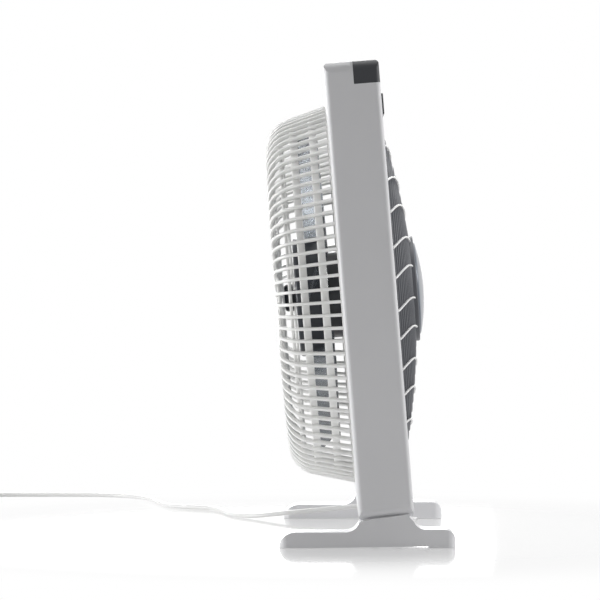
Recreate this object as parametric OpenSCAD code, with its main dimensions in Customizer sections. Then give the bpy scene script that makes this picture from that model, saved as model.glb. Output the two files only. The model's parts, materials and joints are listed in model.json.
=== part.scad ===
// Box fan on two feet. The front faces -Y, +Z is up, and the origin lies on the floor, under the middle.

/* [Housing] */
// Width of the housing, side to side
body_w = 450; // [440:5:520]
// Height of the housing, along its lean
body_h = 471; // [460:1:520]
// Thickness of the housing, front to back
body_t = 57; // [55:1:70]
// Wall of the mouldings
wall = 2.5; // [2:0.25:3]
// Rounding of the housing's front and rear edges
edge_r = 5; // [4:0.5:6]
// Rounding of the housing's corners, seen from the front
corner_r = 12; // [8:1:16]
// How far the housing leans back, in degrees
lean = 4.5; // [0:0.5:6]
// Height of the housing's lowest edge above the floor
ground_gap = 28.3; // [26:0.1:34]
// How far the fan's axis lies below the middle of the housing
fan_drop = 3; // [0:0.5:4]
// Depth of the rear cover's rim
cover_depth = 6.3; // [6:0.1:8]

/* [Rear guard] */
// Outer radius of the basket where it leaves the housing
guard_r = 206.5; // [204:0.5:208]
// How far the basket stands out behind the housing
guard_depth = 69; // [68:0.5:80]
// Number of ribs round the basket, in threes
rib_count = 93; // [60:3:96]
// Thickness of a rib
rib_t = 3.2; // [2.6:0.1:3.4]
// Depth of a rib
rib_d = 4.5; // [4:0.5:6]
// Rounding from the basket's side to its back
shoulder_r = 34; // [28:1:40]
// Width of the two hoops on the basket's side
hoop_w = 8; // [6:0.5:10]
// Radius of the plate in the middle of the basket's back
guard_plate_r = 43; // [40:1:48]

/* [Front grille] */
// Outer radius of the turning disc
grille_r = 185; // [182:0.5:187]
// Space between the turning disc and the air opening round it
disc_gap = 3; // [2.5:0.25:4]
// Height of the disc's dome over the middle of the housing
dome_peak = 52.9; // [52.5:0.1:56]
// Radius of the sphere that the dome is part of
dome_r = 700; // [650:10:900]
// How far the disc has turned at rest, in degrees
disc_turn = 1.6; // [0:0.2:15]
// Distance from one ring of the disc to the next
ring_pitch = 10; // [8:0.5:14]
// Distance from one white bar to the next
bar_pitch = 32.4; // [30:0.2:36]
// How far a white bar waves up and down
bar_wave = 10.5; // [6:0.5:14]
// How far the bars stand out of even spacing, by turns up and down
bar_stagger = 1.1; // [0:0.1:3]
// Width of a white bar
bar_t = 1.8; // [1.4:0.1:2.4]
// Outer radius of the raised hub ring
hub_ring_r = 57.5; // [56:0.5:59]
// Radius of the cap in the middle
cap_r = 50.5; // [46:0.5:51]
// Rise of the cap's dome
cap_rise = 6.6; // [4:0.2:8]

/* [Fan] */
// Radius of the fan's blade tips
blade_r = 175; // [165:1:178]
// Number of blades
blade_count = 5; // [3:1:6]
// Depth that the blades take along the axis
blade_depth = 30; // [24:1:32]
// Thickness of a blade
blade_t = 2.2; // [1.8:0.1:2.6]
// Radius of the fan's cup hub
cup_r = 65; // [62:1:68]
// Radius of the nut behind the hub
nut_r = 15; // [12:0.5:18]

/* [Motor] */
// Radius of the motor's shells
motor_r = 47; // [46:0.5:52]
// Thickness of the stator stack
stack_t = 20; // [16:1:22]
// Radius of the rotor
rotor_r = 22.2; // [20:0.2:22.2]
// Radius of the motor shaft
shaft_r = 4; // [3.5:0.25:4.5]
// Radius of the small motor that turns the disc
grille_motor_r = 24.5; // [22:0.5:26]
// Radius of its output shaft
grille_shaft_r = 3.5; // [3:0.25:4]
// Number of arms on the fixed spider
arm_count = 6; // [6:6:6]
// Width of a spider arm
arm_w = 8; // [6:0.5:12]

/* [Controls] */
// Height of the dark handle bar in the top front edge
bar_h = 24; // [20:1:26]
// Depth of the handle bar, front to back
bar_d = 27; // [24:1:30]
// Half the length of the grip's finger well
grip_half = 55; // [45:1:60]
// Width of a key
key_w = 15; // [12:0.5:16]
// Height of a key
key_h = 22; // [18:0.5:24]
// How far a key stands proud of the front
key_proud = 2.5; // [2:0.1:4]
// How far a key can be pushed
key_travel = 2.2; // [1.5:0.1:2.4]
// Space between one key and the next
key_space = 0.6; // [0.4:0.1:1]

/* [Feet] */
// Width of a foot
foot_w = 42; // [36:1:50]
// How far the feet reach in front of the housing's middle
foot_front = 89.5; // [85:0.5:120]
// How far the feet reach behind the housing's middle
foot_rear = 92.3; // [88:0.5:110]
// Height of a foot's rear half
foot_rear_h = 16.4; // [14:0.2:18]
// Height of a foot's front half
foot_front_h = 19.4; // [16:0.2:20]
// How far the rubber pads stand out under a foot
pad_proud = 0.4; // [0.3:0.1:1]

/* [Cord] */
// Diameter of the cord
cord_d = 5.2; // [5:0.1:5.4]
// Space between the coil's turns, and between its layers
turn_gap = 1.4; // [1.3:0.1:1.8]
// Radius of the coil's first turn
coil_r = 38; // [36:0.5:40]

/* [Hidden] */

// Clearances: a fixed fit, a running fit on a radius, and a moulding in its recess
snug = 0.02;
running = 0.05;
ease = 0.3;
// How far a cut runs past a face, and how far one form sinks into another that it is moulded with
cut = 1;
sink = 0.5;
fine = 120;
smooth = 48;

// Planes of the housing, measured forward from its middle
front_z = body_t / 2;
rear_z = -body_t / 2;
inner_front_z = front_z - wall;
joint_z = rear_z + cover_depth;
duct_t = 2.5;
tongue_end_z = joint_z + 2.8;

// Basket outline, measured back from the housing's middle
wall_slope = 0.2755;
slant = atan(wall_slope);
guard_back = -rear_z + guard_depth;
shoulder_b = guard_back - shoulder_r;
shoulder_c = guard_r - wall_slope * (shoulder_b + rear_z) - shoulder_r / cos(slant);
flange_t = 2.7;
flange_b = -joint_z - flange_t;
opening_r = grille_r + disc_gap;
base_ring_t = 5.5;
flange_out = 7;
seat_w = 10.5;

// Place of the housing over the floor, with the whole fan centred front to back
guard_reach = shoulder_b * cos(lean) + (shoulder_c - fan_drop) * sin(lean) + shoulder_r;
wall_y = (foot_front - guard_reach) / 2;
wall_z = ground_gap + edge_r + (body_h / 2 - edge_r) * cos(lean) + (body_t / 2 - edge_r) * sin(lean);

// Screws: [shank radius, head radius, head height]
big_screw = [1.75, 3.6, 2.4];
small_screw = [1.25, 2.4, 1.6];
boss_r = 5;
duct_end_z = joint_z + flange_t + small_screw[2] + ease;
cover_seat_z = rear_z + 3;
cover_screw_l = 15;
cover_top_r = guard_r + 19.1;
cover_top_angle = 66;
cover_side_x = body_w / 2 - 22;
cover_side_y = body_h / 2 - 85.5;
cover_top = [cover_top_r * cos(cover_top_angle), cover_top_r * sin(cover_top_angle) - fan_drop];
cover_low = [body_w / 2 - 75, -body_h / 2 + 20.5];
cover_right = [[cover_side_x, cover_side_y], [cover_side_x, -cover_side_y], cover_top, cover_low];
cover_screw_at = [for (side = [-1, 1]) for (p = cover_right) [side * p[0], p[1]]];
guard_screw_count = 6;

// Motor planes, measured forward from the housing's middle
spider_t = 6;
plate_t = 3;
spider_front = 16.5;
plate_back = spider_front - plate_t;
spider_back = spider_front - spider_t;
lug_h = 8;
shell_t = 2.5;
stack_front = -2;
stack_back = stack_front - stack_t;
motor_back = stack_back - 19;
bearing_r = 8;
bearing_l = 10;
front_bearing_z = 2;
rear_bearing_z = stack_back - 6 - bearing_l;
stator_r = motor_r - 1;
air_gap = 0.6;
slot_count = 12;
slot_r = 3.7;
slot_ring_r = 31;
coil_in = 26;
coil_out = 36;
coil_t = 9;
bolt_ring_r = 41.5;
bolt_r = 2;
mount_ring_r = 38;
ring_in = opening_r - 7;

// Blade planes, measured back
blade_front_b = 36.5;
cup_back_b = 80;
cup_front_b = 46;
cup_t = 2.5;
fan_boss_r = 12;
fan_boss_b = 50;
shaft_end_b = 86;
nut_end_b = 89.5;

// Grille planes
ring_t = 2.4;
ring_depth = 6;
spoke_count = 12;
spoke_t = 3;
hub_plate_z = 44;
hub_plate_t = 3.5;
hub_plate_r = 61;
hub_ring_top = 54.6;
rim_t = 4;
rim_ring_t = 1;
grille_boss_r = 9;
grille_can_top = 36;
grille_neck_top = 39;
grille_shaft_top = 51;
grille_bore_z = 26;
bar_lift = 0.3;
bar_proud = 1.6;
bar_count = 10;
bar_end_in = 1;
bar_steps = 14;
cap_edge_z = 56.2;

// Keys, from the middle of the bank
key_count = 5;
key_pitch = key_w + key_space;
bank_x = -body_w / 2 + 72;
bank_y = body_h / 2 - 44.5;
bank_w = key_count * key_pitch - key_space;
key_root_z = 20;
stem_w = 4;
stem_tip_z = 6;
switch_front_z = 14.5;
switch_back_z = -12;
ear_w = 10;
ear_t = 2.5;
post_x = bank_w / 2 + ear_w / 2 + 1;

// Grip well behind and under the handle bar
shelf_y = body_h / 2 - bar_h;
step_z = front_z - bar_d;
well_back_z = joint_z + flange_t + small_screw[2] + ease + wall;
well_floor_y = shelf_y - 11.5;
bar_top_t = 4;
bar_screw_x = body_w / 2 - 75;

// Feet
foot_x = body_w / 2 - foot_w / 2;
saddle_gap = 0.4;
neck_flare = 4.5;
rear_neck_r = 15;
front_neck_r = 12;
front_end_r = 12;
rear_end_r = 17;
foot_screw_z = [rear_z + 14.5, front_z - 18.5];
foot_screw_l = 18;
foot_floor_t = 9;
pad_r = 7;
pad_t = 2.4;
pad_u = [foot_rear - 17.3, -foot_front + 13.5];

// Wiring
lead_r = 1.6;
block_at = [body_w / 2 - 41, -body_h / 2 + 31.5];
block_size = [30, 18, 16];
capacitor_at = [-body_w / 2 + 45, -body_h / 2 + 31.5];
capacitor_size = [38, 26, 17];

// Where the cord leaves the housing, and its route over the floor
cord_r = cord_d / 2;
turn_pitch = cord_d + turn_gap;
gland_x = foot_x - 46;
gland_z = 6;
gland_drop = 8;
boot_l = 22;
boot_dip = 12;
floor_z = 2.8;
coil_centre = [516, 490];
in_turns = 2;
out_turns = 1.5;
turn_steps = 24;
route_start = [[158, 2, 16], [158, 22, 14], [159, 46, 11.6], [161, 70, 9.4], [167, 92, 6.6],
    [178, 112, 4], [194, 129, floor_z], [216, 141, floor_z], [244, 149, floor_z],
    [274, 155, floor_z], [300, 163, floor_z], [318, 173, floor_z], [331, 192, floor_z],
    [346, 212, floor_z], [374, 226, floor_z], [414, 237, floor_z], [458, 247, floor_z],
    [499, 261, floor_z], [532, 284, floor_z], [549, 318, floor_z], [554, 360, floor_z],
    [554, 404, floor_z], [554, 448, floor_z], [554, 484, floor_z]];
tail_points = [[550.7, 502, 9.2], [550.7, 514, 8.8], [550.7, 527, 8.2], [550.7, 540, 7.6], [550.7, 552, 7.2]];
plug_z = 7.2;
plug_neck_l = 14;
plug_l = 34;
plug_w = 35;
plug_t = 13.6;
pin_r = 2;
pin_l = 19;
pin_space = 18.6;

// Frames: Z forward, Y up and X to the right on the leaning housing, and the same about the fan's axis
module on_wall() translate([0, wall_y, wall_z]) rotate([90 - lean, 0, 0]) children();
module on_axis() on_wall() translate([0, -fan_drop, 0]) children();
module behind() on_axis() rotate([0, 180, 0]) children();

// A point of the leaning housing, given as right, up and forward, in the fan's own frame
function placed(p) = [p[0], wall_y - p[2] * cos(lean) + p[1] * sin(lean),
    wall_z + p[2] * sin(lean) + p[1] * cos(lean)];

function rounded_rect(w, h, r, n = 6) = [for (q = [0:3]) for (i = [0:n])
    let (a = 90 * q + 90 * i / n, sx = q == 0 || q == 3 ? 1 : -1, sy = q < 2 ? 1 : -1)
    [sx * (w / 2 - r) + r * cos(a), sy * (h / 2 - r) + r * sin(a)]];
function arc(c, r, a0, a1, n = 6) = [for (i = [0:n]) let (a = a0 + (a1 - a0) * i / n)
    [c[0] + r * cos(a), c[1] + r * sin(a)]];

// A box with rounded edges all round, centred
module soft_box(w, h, t, corner, edge) {
    intersection() {
        linear_extrude(t, center = true) polygon(rounded_rect(w, h, corner));
        rotate([90, 0, 90]) linear_extrude(w, center = true) polygon(rounded_rect(h, t, edge));
        rotate([90, 0, 0]) linear_extrude(h, center = true) polygon(rounded_rect(w, t, edge));
    }
}

module slab(z0, z1) translate([0, 0, z0]) linear_extrude(z1 - z0) children();
module tube(r_out, r_in, z0, z1, n = fine) {
    difference() {
        translate([0, 0, z0]) cylinder(h = z1 - z0, r = r_out, $fn = n);
        translate([0, 0, z0 - cut]) cylinder(h = z1 - z0 + 2 * cut, r = r_in, $fn = n);
    }
}
module rod(r, z0, z1, n = smooth) translate([0, 0, z0]) cylinder(h = z1 - z0, r = r, $fn = n);
module around(count, r, start = 0) {
    for (i = [0:count - 1]) rotate(start + 360 * i / count) translate([r, 0, 0]) children();
}

// A screw with its head's seat at z = 0 and its shank down to -length
module screw(kind, length) {
    rod(kind[0], -length, 0, 24);
    difference() {
        rod(kind[1], 0, kind[2], 24);
        for (a = [0, 90]) rotate(a) translate([-kind[1] / 2, -0.4, kind[2] / 2])
            cube([kind[1], 0.8, kind[2]]);
    }
}

// A smooth path through its points, and a tube swept along it by rings square to the path
function bend(p, i, t) = let (
    a = p[max(i - 1, 0)], b = p[i], c = p[i + 1], d = p[min(i + 2, len(p) - 1)])
    0.5 * (2 * b + (c - a) * t + (2 * a - 5 * b + 4 * c - d) * t * t + (3 * b - a - 3 * c + d) * t * t * t);
function smooth_path(p, n) = concat(
    [for (i = [0:len(p) - 2]) for (k = [0:n - 1]) bend(p, i, k / n)], [p[len(p) - 1]]);
function unit(v) = v / norm(v);
function along(p, i) = unit(p[min(i + 1, len(p) - 1)] - p[max(i - 1, 0)]);
function path_length(p, i = 1) = i >= len(p) ? 0 : norm(p[i] - p[i - 1]) + path_length(p, i + 1);
function ring_points(c, t, r, sides) = let (
    side = unit(cross(t, [0, 0, 1])), up = cross(side, t))
    [for (k = [0:sides - 1]) let (a = 360 * (k + 0.5) / sides) c + r * (cos(a) * side + sin(a) * up)];
function tube_faces(rings, sides) = concat(
    [[for (k = [0:sides - 1]) k]],
    [for (i = [0:rings - 2]) for (k = [0:sides - 1]) let (n = (k + 1) % sides)
        [i * sides + k, (i + 1) * sides + k, i * sides + n]],
    [for (i = [0:rings - 2]) for (k = [0:sides - 1]) let (n = (k + 1) % sides)
        [i * sides + n, (i + 1) * sides + k, (i + 1) * sides + n]],
    [[for (k = [sides - 1:-1:0]) (rings - 1) * sides + k]]);
module swept(path, r, sides, first = [0, 0, 0], last = [0, 0, 0]) {
    rings = len(path);
    polyhedron(points = [for (i = [0:rings - 1])
            let (t = i == 0 && norm(first) > 0 ? unit(first)
                : i == rings - 1 && norm(last) > 0 ? unit(last) : along(path, i))
            each ring_points(path[i], t, r, sides)],
        faces = tube_faces(rings, sides));
}

// Housing
module cover_bosses() for (p = cover_screw_at) translate(p) rod(boss_r, joint_z, front_z - wall / 2, 32);
module cover_pilots() for (p = cover_screw_at) translate(p)
    rod(big_screw[0] + running, joint_z - cut, cover_seat_z + cover_screw_l + 4, 24);
module grip_well() {
    h = body_h / 2 + wall / 2 - well_floor_y;
    d = front_z + wall / 2 - well_back_z;
    translate([-grip_half - wall, well_floor_y - wall, well_back_z - wall]) cube([2 * (grip_half + wall), h, d]);
}
module grip_space() {
    translate([-grip_half, well_floor_y, well_back_z])
        cube([2 * grip_half, body_h, inner_front_z - well_back_z]);
}
module bar_block(gap) {
    translate([-body_w, shelf_y - gap, step_z - gap]) cube([2 * body_w, body_h, body_t]);
}
module step_walls() {
    translate([-body_w / 2 + wall / 2, shelf_y - wall, step_z - wall])
        cube([body_w - wall, wall, bar_d + wall / 2]);
    translate([-body_w / 2 + wall / 2, shelf_y - wall, step_z - wall])
        cube([body_w - wall, bar_h + wall / 2, wall]);
}
module spider_lugs() {
    on_lug_ring() translate([-9, -7, spider_back - lug_h]) cube([13 + duct_t, 14, lug_h]);
}
module on_lug_ring() translate([0, -fan_drop, 0]) around(arm_count, opening_r - 4) children();
module key_posts() for (s = [-1, 1]) translate([bank_x + s * post_x, bank_y, 0])
    difference() {
        rod(4, switch_front_z, front_z - wall / 2, 32);
        rod(small_screw[0] + running, switch_front_z - cut, switch_front_z + 8, 24);
    }
module foot_bosses() for (s = [-1, 1]) for (z = foot_screw_z) translate([s * foot_x, -body_h / 2 + wall / 2, z])
    rotate([-90, 0, 0]) rod(boss_r, 0, 11, 32);
module foot_pilots() for (s = [-1, 1]) for (z = foot_screw_z) translate([s * foot_x, -body_h / 2, z])
    rotate([-90, 0, 0]) rod(big_screw[0] + running, -cut, 10.5, 24);
module bar_screw_places() for (x = [-bar_screw_x, bar_screw_x]) translate([x, shelf_y, (step_z + front_z) / 2])
    rotate([90, 0, 0]) children();
module housing() color("#e4e4e3") on_wall() difference() {
    union() {
        difference() {
            intersection() {
                soft_box(body_w, body_h, body_t, corner_r, edge_r);
                translate([-body_w, -body_h, joint_z]) cube([2 * body_w, 2 * body_h, body_t]);
            }
            slab(joint_z - cut, inner_front_z)
                polygon(rounded_rect(body_w - 2 * wall, body_h - 2 * wall, corner_r - wall));
        }
        translate([0, -fan_drop, 0]) rod(opening_r + duct_t, duct_end_z, front_z - wall / 2, fine);
        cover_bosses();
        grip_well();
        step_walls();
        foot_bosses();
        key_posts();
    }
    difference() {
        translate([0, -fan_drop, 0]) rod(opening_r, joint_z - cut, front_z + cut, fine);
        spider_lugs();
    }
    bar_block(0);
    grip_space();
    cover_pilots();
    foot_pilots();
    on_lug_ring() rod(big_screw[0] + running, spider_back - lug_h - cut, spider_back + cut, 24);
    bar_screw_places() rod(big_screw[0] + running, -cut, wall + cut, 24);
    translate([bank_x, bank_y, 0]) slab(inner_front_z - cut, front_z + cut)
        square([bank_w + 2 * key_space, key_h + 2 * key_space], center = true);
    translate([gland_x, -body_h / 2, gland_z]) rotate([-90, 0, 0]) rod(gland_r + running, -cut, wall + cut, 32);
    lead_notch();
}
module lead_notch() {
    translate([0, -fan_drop, 0]) rotate(-60)
        translate([opening_r - 9, -lead_r - ease, spider_back - lug_h - 2 * (lead_r + ease)])
            cube([9 + duct_t + cut, 2 * (lead_r + ease), 2 * (lead_r + ease)]);
}

// Rear cover
module rear_cover() color("#e4e4e3") on_wall() difference() {
    union() {
        difference() {
            intersection() {
                soft_box(body_w, body_h, body_t, corner_r, edge_r);
                translate([-body_w, -body_h, rear_z - cut]) cube([2 * body_w, 2 * body_h, cover_depth + cut]);
            }
            slab(cover_seat_z, joint_z + cut)
                polygon(rounded_rect(body_w - 2 * wall, body_h - 2 * wall, corner_r - wall));
        }
        cover_tongue();
        translate([0, -fan_drop, 0]) rod(guard_r + seat_w, rear_z + 1.5, joint_z, fine);
        for (p = cover_screw_at) translate(p) rod(boss_r, rear_z + 1.5, joint_z, 32);
    }
    translate([0, -fan_drop, 0]) rod(guard_r + 1, rear_z - cut, joint_z + cut, fine);
    for (p = cover_screw_at) translate(p) {
        rod(big_screw[0] + 0.2, rear_z - cut, joint_z + cut, 24);
        rod(big_screw[1] + 0.4, rear_z - cut, cover_seat_z, 24);
    }
    on_guard_screws() rod(small_screw[0] + running, rear_z + 1.2, joint_z + cut, 24);
}
module cover_tongue() {
    side = 2 * (wall + ease);
    difference() {
        slab(rear_z + 1.5, tongue_end_z) difference() {
            polygon(rounded_rect(body_w - side, body_h - side, corner_r - wall - ease));
            polygon(rounded_rect(body_w - side - 3.6, body_h - side - 3.6, corner_r - wall - ease - 1.8));
        }
        translate([-grip_half - 8, 0, joint_z]) cube([2 * grip_half + 16, body_h, body_t]);
    }
}
module on_guard_screws() translate([0, -fan_drop, 0])
    around(guard_screw_count, guard_r + flange_out / 2 + 0.6, 15) children();

// Rear guard, drawn with Z pointing back
function outline(d) = concat([[guard_r - d, -joint_z - sink], [guard_r - d, -rear_z]],
    arc([shoulder_c, shoulder_b], shoulder_r - d, slant, 90, 3));
function reversed(p) = [for (i = [len(p) - 1:-1:0]) p[i]];
module rib(r_in) {
    rotate([90, 0, 0]) linear_extrude(rib_t, center = true) polygon(concat(outline(0),
        [[r_in, guard_back], [r_in, guard_back - rib_d]], reversed(outline(rib_d))));
}
module hoop(r, b, depth, width) tube(r, r - depth, b - width / 2, b + width / 2);
module rear_guard() color("#f0f0ef") behind() {
    inner_rib_r = guard_plate_r + 63;
    hoop_in = shoulder_r - rib_d;
    for (i = [0:rib_count - 1]) rotate(360 * i / rib_count)
        rib(i % 3 == 0 ? guard_plate_r - 2 : inner_rib_r);
    for (b = [45.3, 66]) hoop(guard_r - wall_slope * (b + rear_z) - rib_d + 1, b, 3.5, hoop_w);
    hoop(shoulder_c + (hoop_in + 0.5) * cos(31), shoulder_b + (hoop_in - 1) * sin(31), 4, 6);
    hoop(shoulder_c + (hoop_in + 0.5) * cos(66), shoulder_b + (hoop_in - 1) * sin(66), 6, 4);
    for (r = [shoulder_c - 13.6, inner_rib_r + 3, guard_plate_r + 33]) hoop(r, guard_back - rib_d, 5, 3);
    rod(guard_plate_r, guard_back - rib_d - sink, guard_back + sink, fine);
    difference() {
        tube(guard_r + flange_out, guard_r - base_ring_t, flange_b, -joint_z);
        rotate([0, 180, 0]) translate([0, fan_drop, 0]) on_guard_screws()
            rod(small_screw[0] + 0.2, joint_z - cut, joint_z + flange_t + cut, 24);
    }
    tube(guard_r - 0.8, guard_r - base_ring_t, flange_b, -rear_z + 1);
}

// Handle bar, hollow, and open behind and below along the grip
module handle_bar() color("#34373f") on_wall() difference() {
    union() {
        difference() {
            intersection() {
                soft_box(body_w, body_h, body_t, corner_r, edge_r);
                bar_block(0);
            }
            intersection() {
                slab(step_z + wall, front_z - wall)
                    polygon(rounded_rect(body_w - 2 * wall, body_h - 2 * bar_top_t, corner_r - wall));
                translate([-body_w, shelf_y + wall, step_z]) cube([2 * body_w, bar_h, bar_d]);
            }
        }
        bar_screw_places() rod(boss_r, -bar_h + wall, -wall / 2, 32);
    }
    translate([-grip_half, shelf_y - cut, step_z - cut])
        cube([2 * grip_half, bar_h - bar_top_t + cut, bar_d - wall + cut]);
    bar_screw_places() rod(big_screw[0] + running, -12, cut, 24);
}

// Feet, from an outline in u (behind the housing's middle) and height
saddle_b = body_t / 2 - edge_r;
function saddle(b) = [b * cos(lean) - body_h / 2 * sin(lean),
    wall_z - body_h / 2 * cos(lean) - b * sin(lean) - saddle_gap];
rear_neck = [saddle(saddle_b)[0] + neck_flare + rear_neck_r * sin(72), foot_rear_h + rear_neck_r];
front_neck = [saddle(-saddle_b)[0] - neck_flare - front_neck_r * sin(72), foot_front_h + front_neck_r];
foot_outline = concat([[-foot_front, pad_proud]],
    arc([-foot_front + front_end_r, foot_front_h - front_end_r], front_end_r, 180, 90),
    arc(front_neck, front_neck_r, -90, -18), [saddle(-saddle_b), saddle(saddle_b)],
    arc(rear_neck, rear_neck_r, 198, 270),
    arc([foot_rear - rear_end_r, foot_rear_h - rear_end_r], rear_end_r, 90, 6),
    [[foot_rear, pad_proud]]);
relief_rear = pad_u[0] - 17;
relief_front = pad_u[1] + 14;
relief_h = 1.6;
module foot(side) translate([side * foot_x, wall_y, 0]) difference() {
    intersection() {
        rotate([90, 0, 90]) linear_extrude(foot_w, center = true) polygon(foot_outline);
        translate([0, (foot_rear - foot_front) / 2, 0]) linear_extrude(body_h)
            polygon(rounded_rect(foot_w, foot_rear + foot_front, 9));
    }
    rotate([90, 0, 90]) linear_extrude(foot_w + 2 * cut, center = true)
        polygon([[relief_rear, pad_proud], [relief_rear, -cut], [relief_front, -cut],
            [relief_front, pad_proud + relief_h]]);
    for (u = pad_u) translate([0, u, -cut]) rod(pad_r + running, 0, pad_t + cut, 32);
    translate([-side * foot_x, -wall_y, 0]) on_wall() for (z = foot_screw_z)
        translate([side * foot_x, -body_h / 2 - saddle_gap, z]) rotate([-90, 0, 0]) {
            rod(big_screw[0] + 0.1, -body_h, cut, 24);
            rod(big_screw[1] + 0.6, -body_h, -foot_floor_t, 24);
        }
}
module left_foot() color("#ececeb") foot(-1);
module right_foot() color("#ececeb") foot(1);
module foot_pads() color("#8c8d8f") for (s = [-1, 1]) for (u = pad_u)
    translate([s * foot_x, wall_y + u, 0]) rod(pad_r, 0, pad_t, 32);

// Spider that carries both motors, drawn about the axis
module motor_spider() color("#dcdcdb") on_axis() difference() {
    union() {
        tube(opening_r - ease, ring_in, spider_back, spider_front);
        for (i = [0:arm_count - 1]) rotate(360 * i / arm_count)
            translate([motor_r + ease, -arm_w / 2, spider_back + sink])
                cube([ring_in - motor_r - ease + 2, arm_w, spider_t - 2 * sink]);
        rod(motor_r + 3, plate_back, spider_front, fine);
    }
    around(arm_count, opening_r - 4) rod(big_screw[0] + 0.1, spider_back - cut, spider_front + cut, 24);
    around(4, mount_ring_r, 45) rod(big_screw[0] + 0.1, plate_back - cut, spider_front + cut, 24);
    around(2, grille_ear_r) rod(small_screw[0] + running, plate_back - cut, spider_front + cut, 24);
}

// Motor
module shell_cup(z_open, z_closed) {
    z0 = min(z_open, z_closed);
    z1 = max(z_open, z_closed);
    inner0 = z_open < z_closed ? z0 - cut : z0 + shell_t;
    inner1 = z_open < z_closed ? z1 - shell_t : z1 + cut;
    difference() {
        rod(motor_r, z0, z1, fine);
        rod(motor_r - shell_t, inner0, inner1, fine);
    }
    around(4, bolt_ring_r, 0) rod(4.5, z0, z1, 32);
}
module motor_front_shell() color("#a9abad") on_axis() difference() {
    union() {
        shell_cup(stack_front, plate_back);
        rod(bearing_r + 3, front_bearing_z, plate_back - shell_t / 2, smooth);
        around(4, mount_ring_r, 45) rod(4, plate_back - 6, plate_back - shell_t / 2, 32);
    }
    rod(bearing_r + snug, front_bearing_z - cut, front_bearing_z + bearing_l, smooth);
    around(4, mount_ring_r, 45) rod(big_screw[0] + running, plate_back - 7, plate_back + cut, 24);
    around(4, bolt_ring_r, 0) rod(bolt_r + running, stack_front - cut, stack_front + 8, 24);
    rotate(-60) translate([motor_r - 6, 0, arm_lead_z]) rotate([0, 90, 0]) rod(lead_r + 0.2, 0, 10, 24);
}
module motor_rear_shell() color("#4a4c50") on_axis() difference() {
    union() {
        shell_cup(stack_back, motor_back);
        rod(bearing_r + 3, motor_back + shell_t / 2, rear_bearing_z + bearing_l, smooth);
    }
    rod(bearing_r + snug, rear_bearing_z, rear_bearing_z + bearing_l + cut, smooth);
    rod(shaft_r + 1, motor_back - cut, stack_back, smooth);
    around(4, bolt_ring_r, 0) rod(bolt_r + 0.1, motor_back - cut, stack_back + cut, 24);
    around(8, 31, 22.5) rod(4, motor_back - cut, motor_back + shell_t + cut, 24);
}
module stator_core() color("#7f8387") on_axis() difference() {
    rod(stator_r, stack_back, stack_front, fine);
    rod(rotor_r + air_gap, stack_back - cut, stack_front + cut, fine);
    around(slot_count, slot_ring_r, 180 / slot_count) rod(slot_r, stack_back - cut, stack_front + cut, 24);
    around(4, bolt_ring_r, 0) rod(bolt_r + 0.1, stack_back - cut, stack_front + cut, 24);
}
module windings() color("#b0622c") on_axis() {
    tube(coil_out, coil_in, stack_front + 0.1, stack_front + coil_t, smooth);
    tube(coil_out, coil_in, stack_back - coil_t, stack_back - 0.1, smooth);
    around(slot_count, slot_ring_r, 180 / slot_count) rod(slot_r - 0.4, stack_back - 1, stack_front + 1, 24);
}
module bearing(z) on_axis() tube(bearing_r, shaft_r + running, z, z + bearing_l, smooth);
module front_bearing() color("#a8894d") bearing(front_bearing_z);
module rear_bearing() color("#a8894d") bearing(rear_bearing_z);
module rotor() color("#9a9c9e") on_axis()
    tube(rotor_r, shaft_r + snug, stack_back - 1, stack_front + 1, smooth);
module motor_shaft() color("#c9cbcd") behind()
    rod(shaft_r, -front_bearing_z - bearing_l + 1, shaft_end_b, smooth);
module motor_bolts() color("#b5b7b9") on_axis() around(4, bolt_ring_r, 0) {
    rod(bolt_r, motor_back, stack_front + 7, 24);
    rod(3.8, motor_back - 2.4, motor_back, 24);
}
module motor_screws() color("#b5b7b9") on_axis() around(4, mount_ring_r, 45)
    translate([0, 0, spider_front]) screw(big_screw, plate_t + 5);

// Fan blade, drawn with Z pointing back
function blade_line(s, lift) = let (half = 68, camber = 4.2, middle = blade_front_b + blade_depth / 2)
    [s * half, middle - s * (blade_depth / 2 - 1.5) - camber * (1 - s * s) + lift];
function blade_section() = concat([for (i = [0:8]) blade_line(-1 + i / 4, 0)],
    [for (i = [8:-1:0]) blade_line(-1 + i / 4, blade_t)]);
function lead_edge(r) = 30 + 0.32 * (r - cup_r) - 0.0012 * (r - cup_r) * (r - cup_r);
function trail_edge(r) = -26 - 0.10 * (r - cup_r) - 0.0016 * (r - cup_r) * (r - cup_r);
module blade() {
    r_steps = [for (i = [0:5]) cup_r - 2 + (blade_r + 2 - cup_r) * i / 5];
    intersection() {
        rotate([90, 0, 90]) linear_extrude(blade_r + cut) polygon(blade_section());
        linear_extrude(body_h) intersection() {
            polygon(concat([for (r = r_steps) [r, lead_edge(r)]],
                [for (r = reversed(r_steps)) [r, trail_edge(r)]]));
            circle(r = blade_r, $fn = fine);
        }
        tube(blade_r + cut, cup_r - cup_t / 2, 0, body_h);
    }
}
module fan_blade() color("#343b45") behind() difference() {
    union() {
        for (i = [0:blade_count - 1]) rotate(90 + 360 * i / blade_count) blade();
        tube(cup_r, cup_r - cup_t, cup_front_b, cup_back_b);
        rod(cup_r - cup_t / 2, cup_back_b - cup_t, cup_back_b, fine);
        rod(fan_boss_r, fan_boss_b, cup_back_b, smooth);
        for (i = [0:blade_count - 1]) rotate(90 + 360 * i / blade_count)
            translate([fan_boss_r - 1, -1, cup_back_b - 14]) cube([cup_r - cup_t - fan_boss_r + 2, 2, 13]);
    }
    rod(shaft_r + snug, fan_boss_b - cut, cup_back_b + cut, smooth);
}
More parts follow.
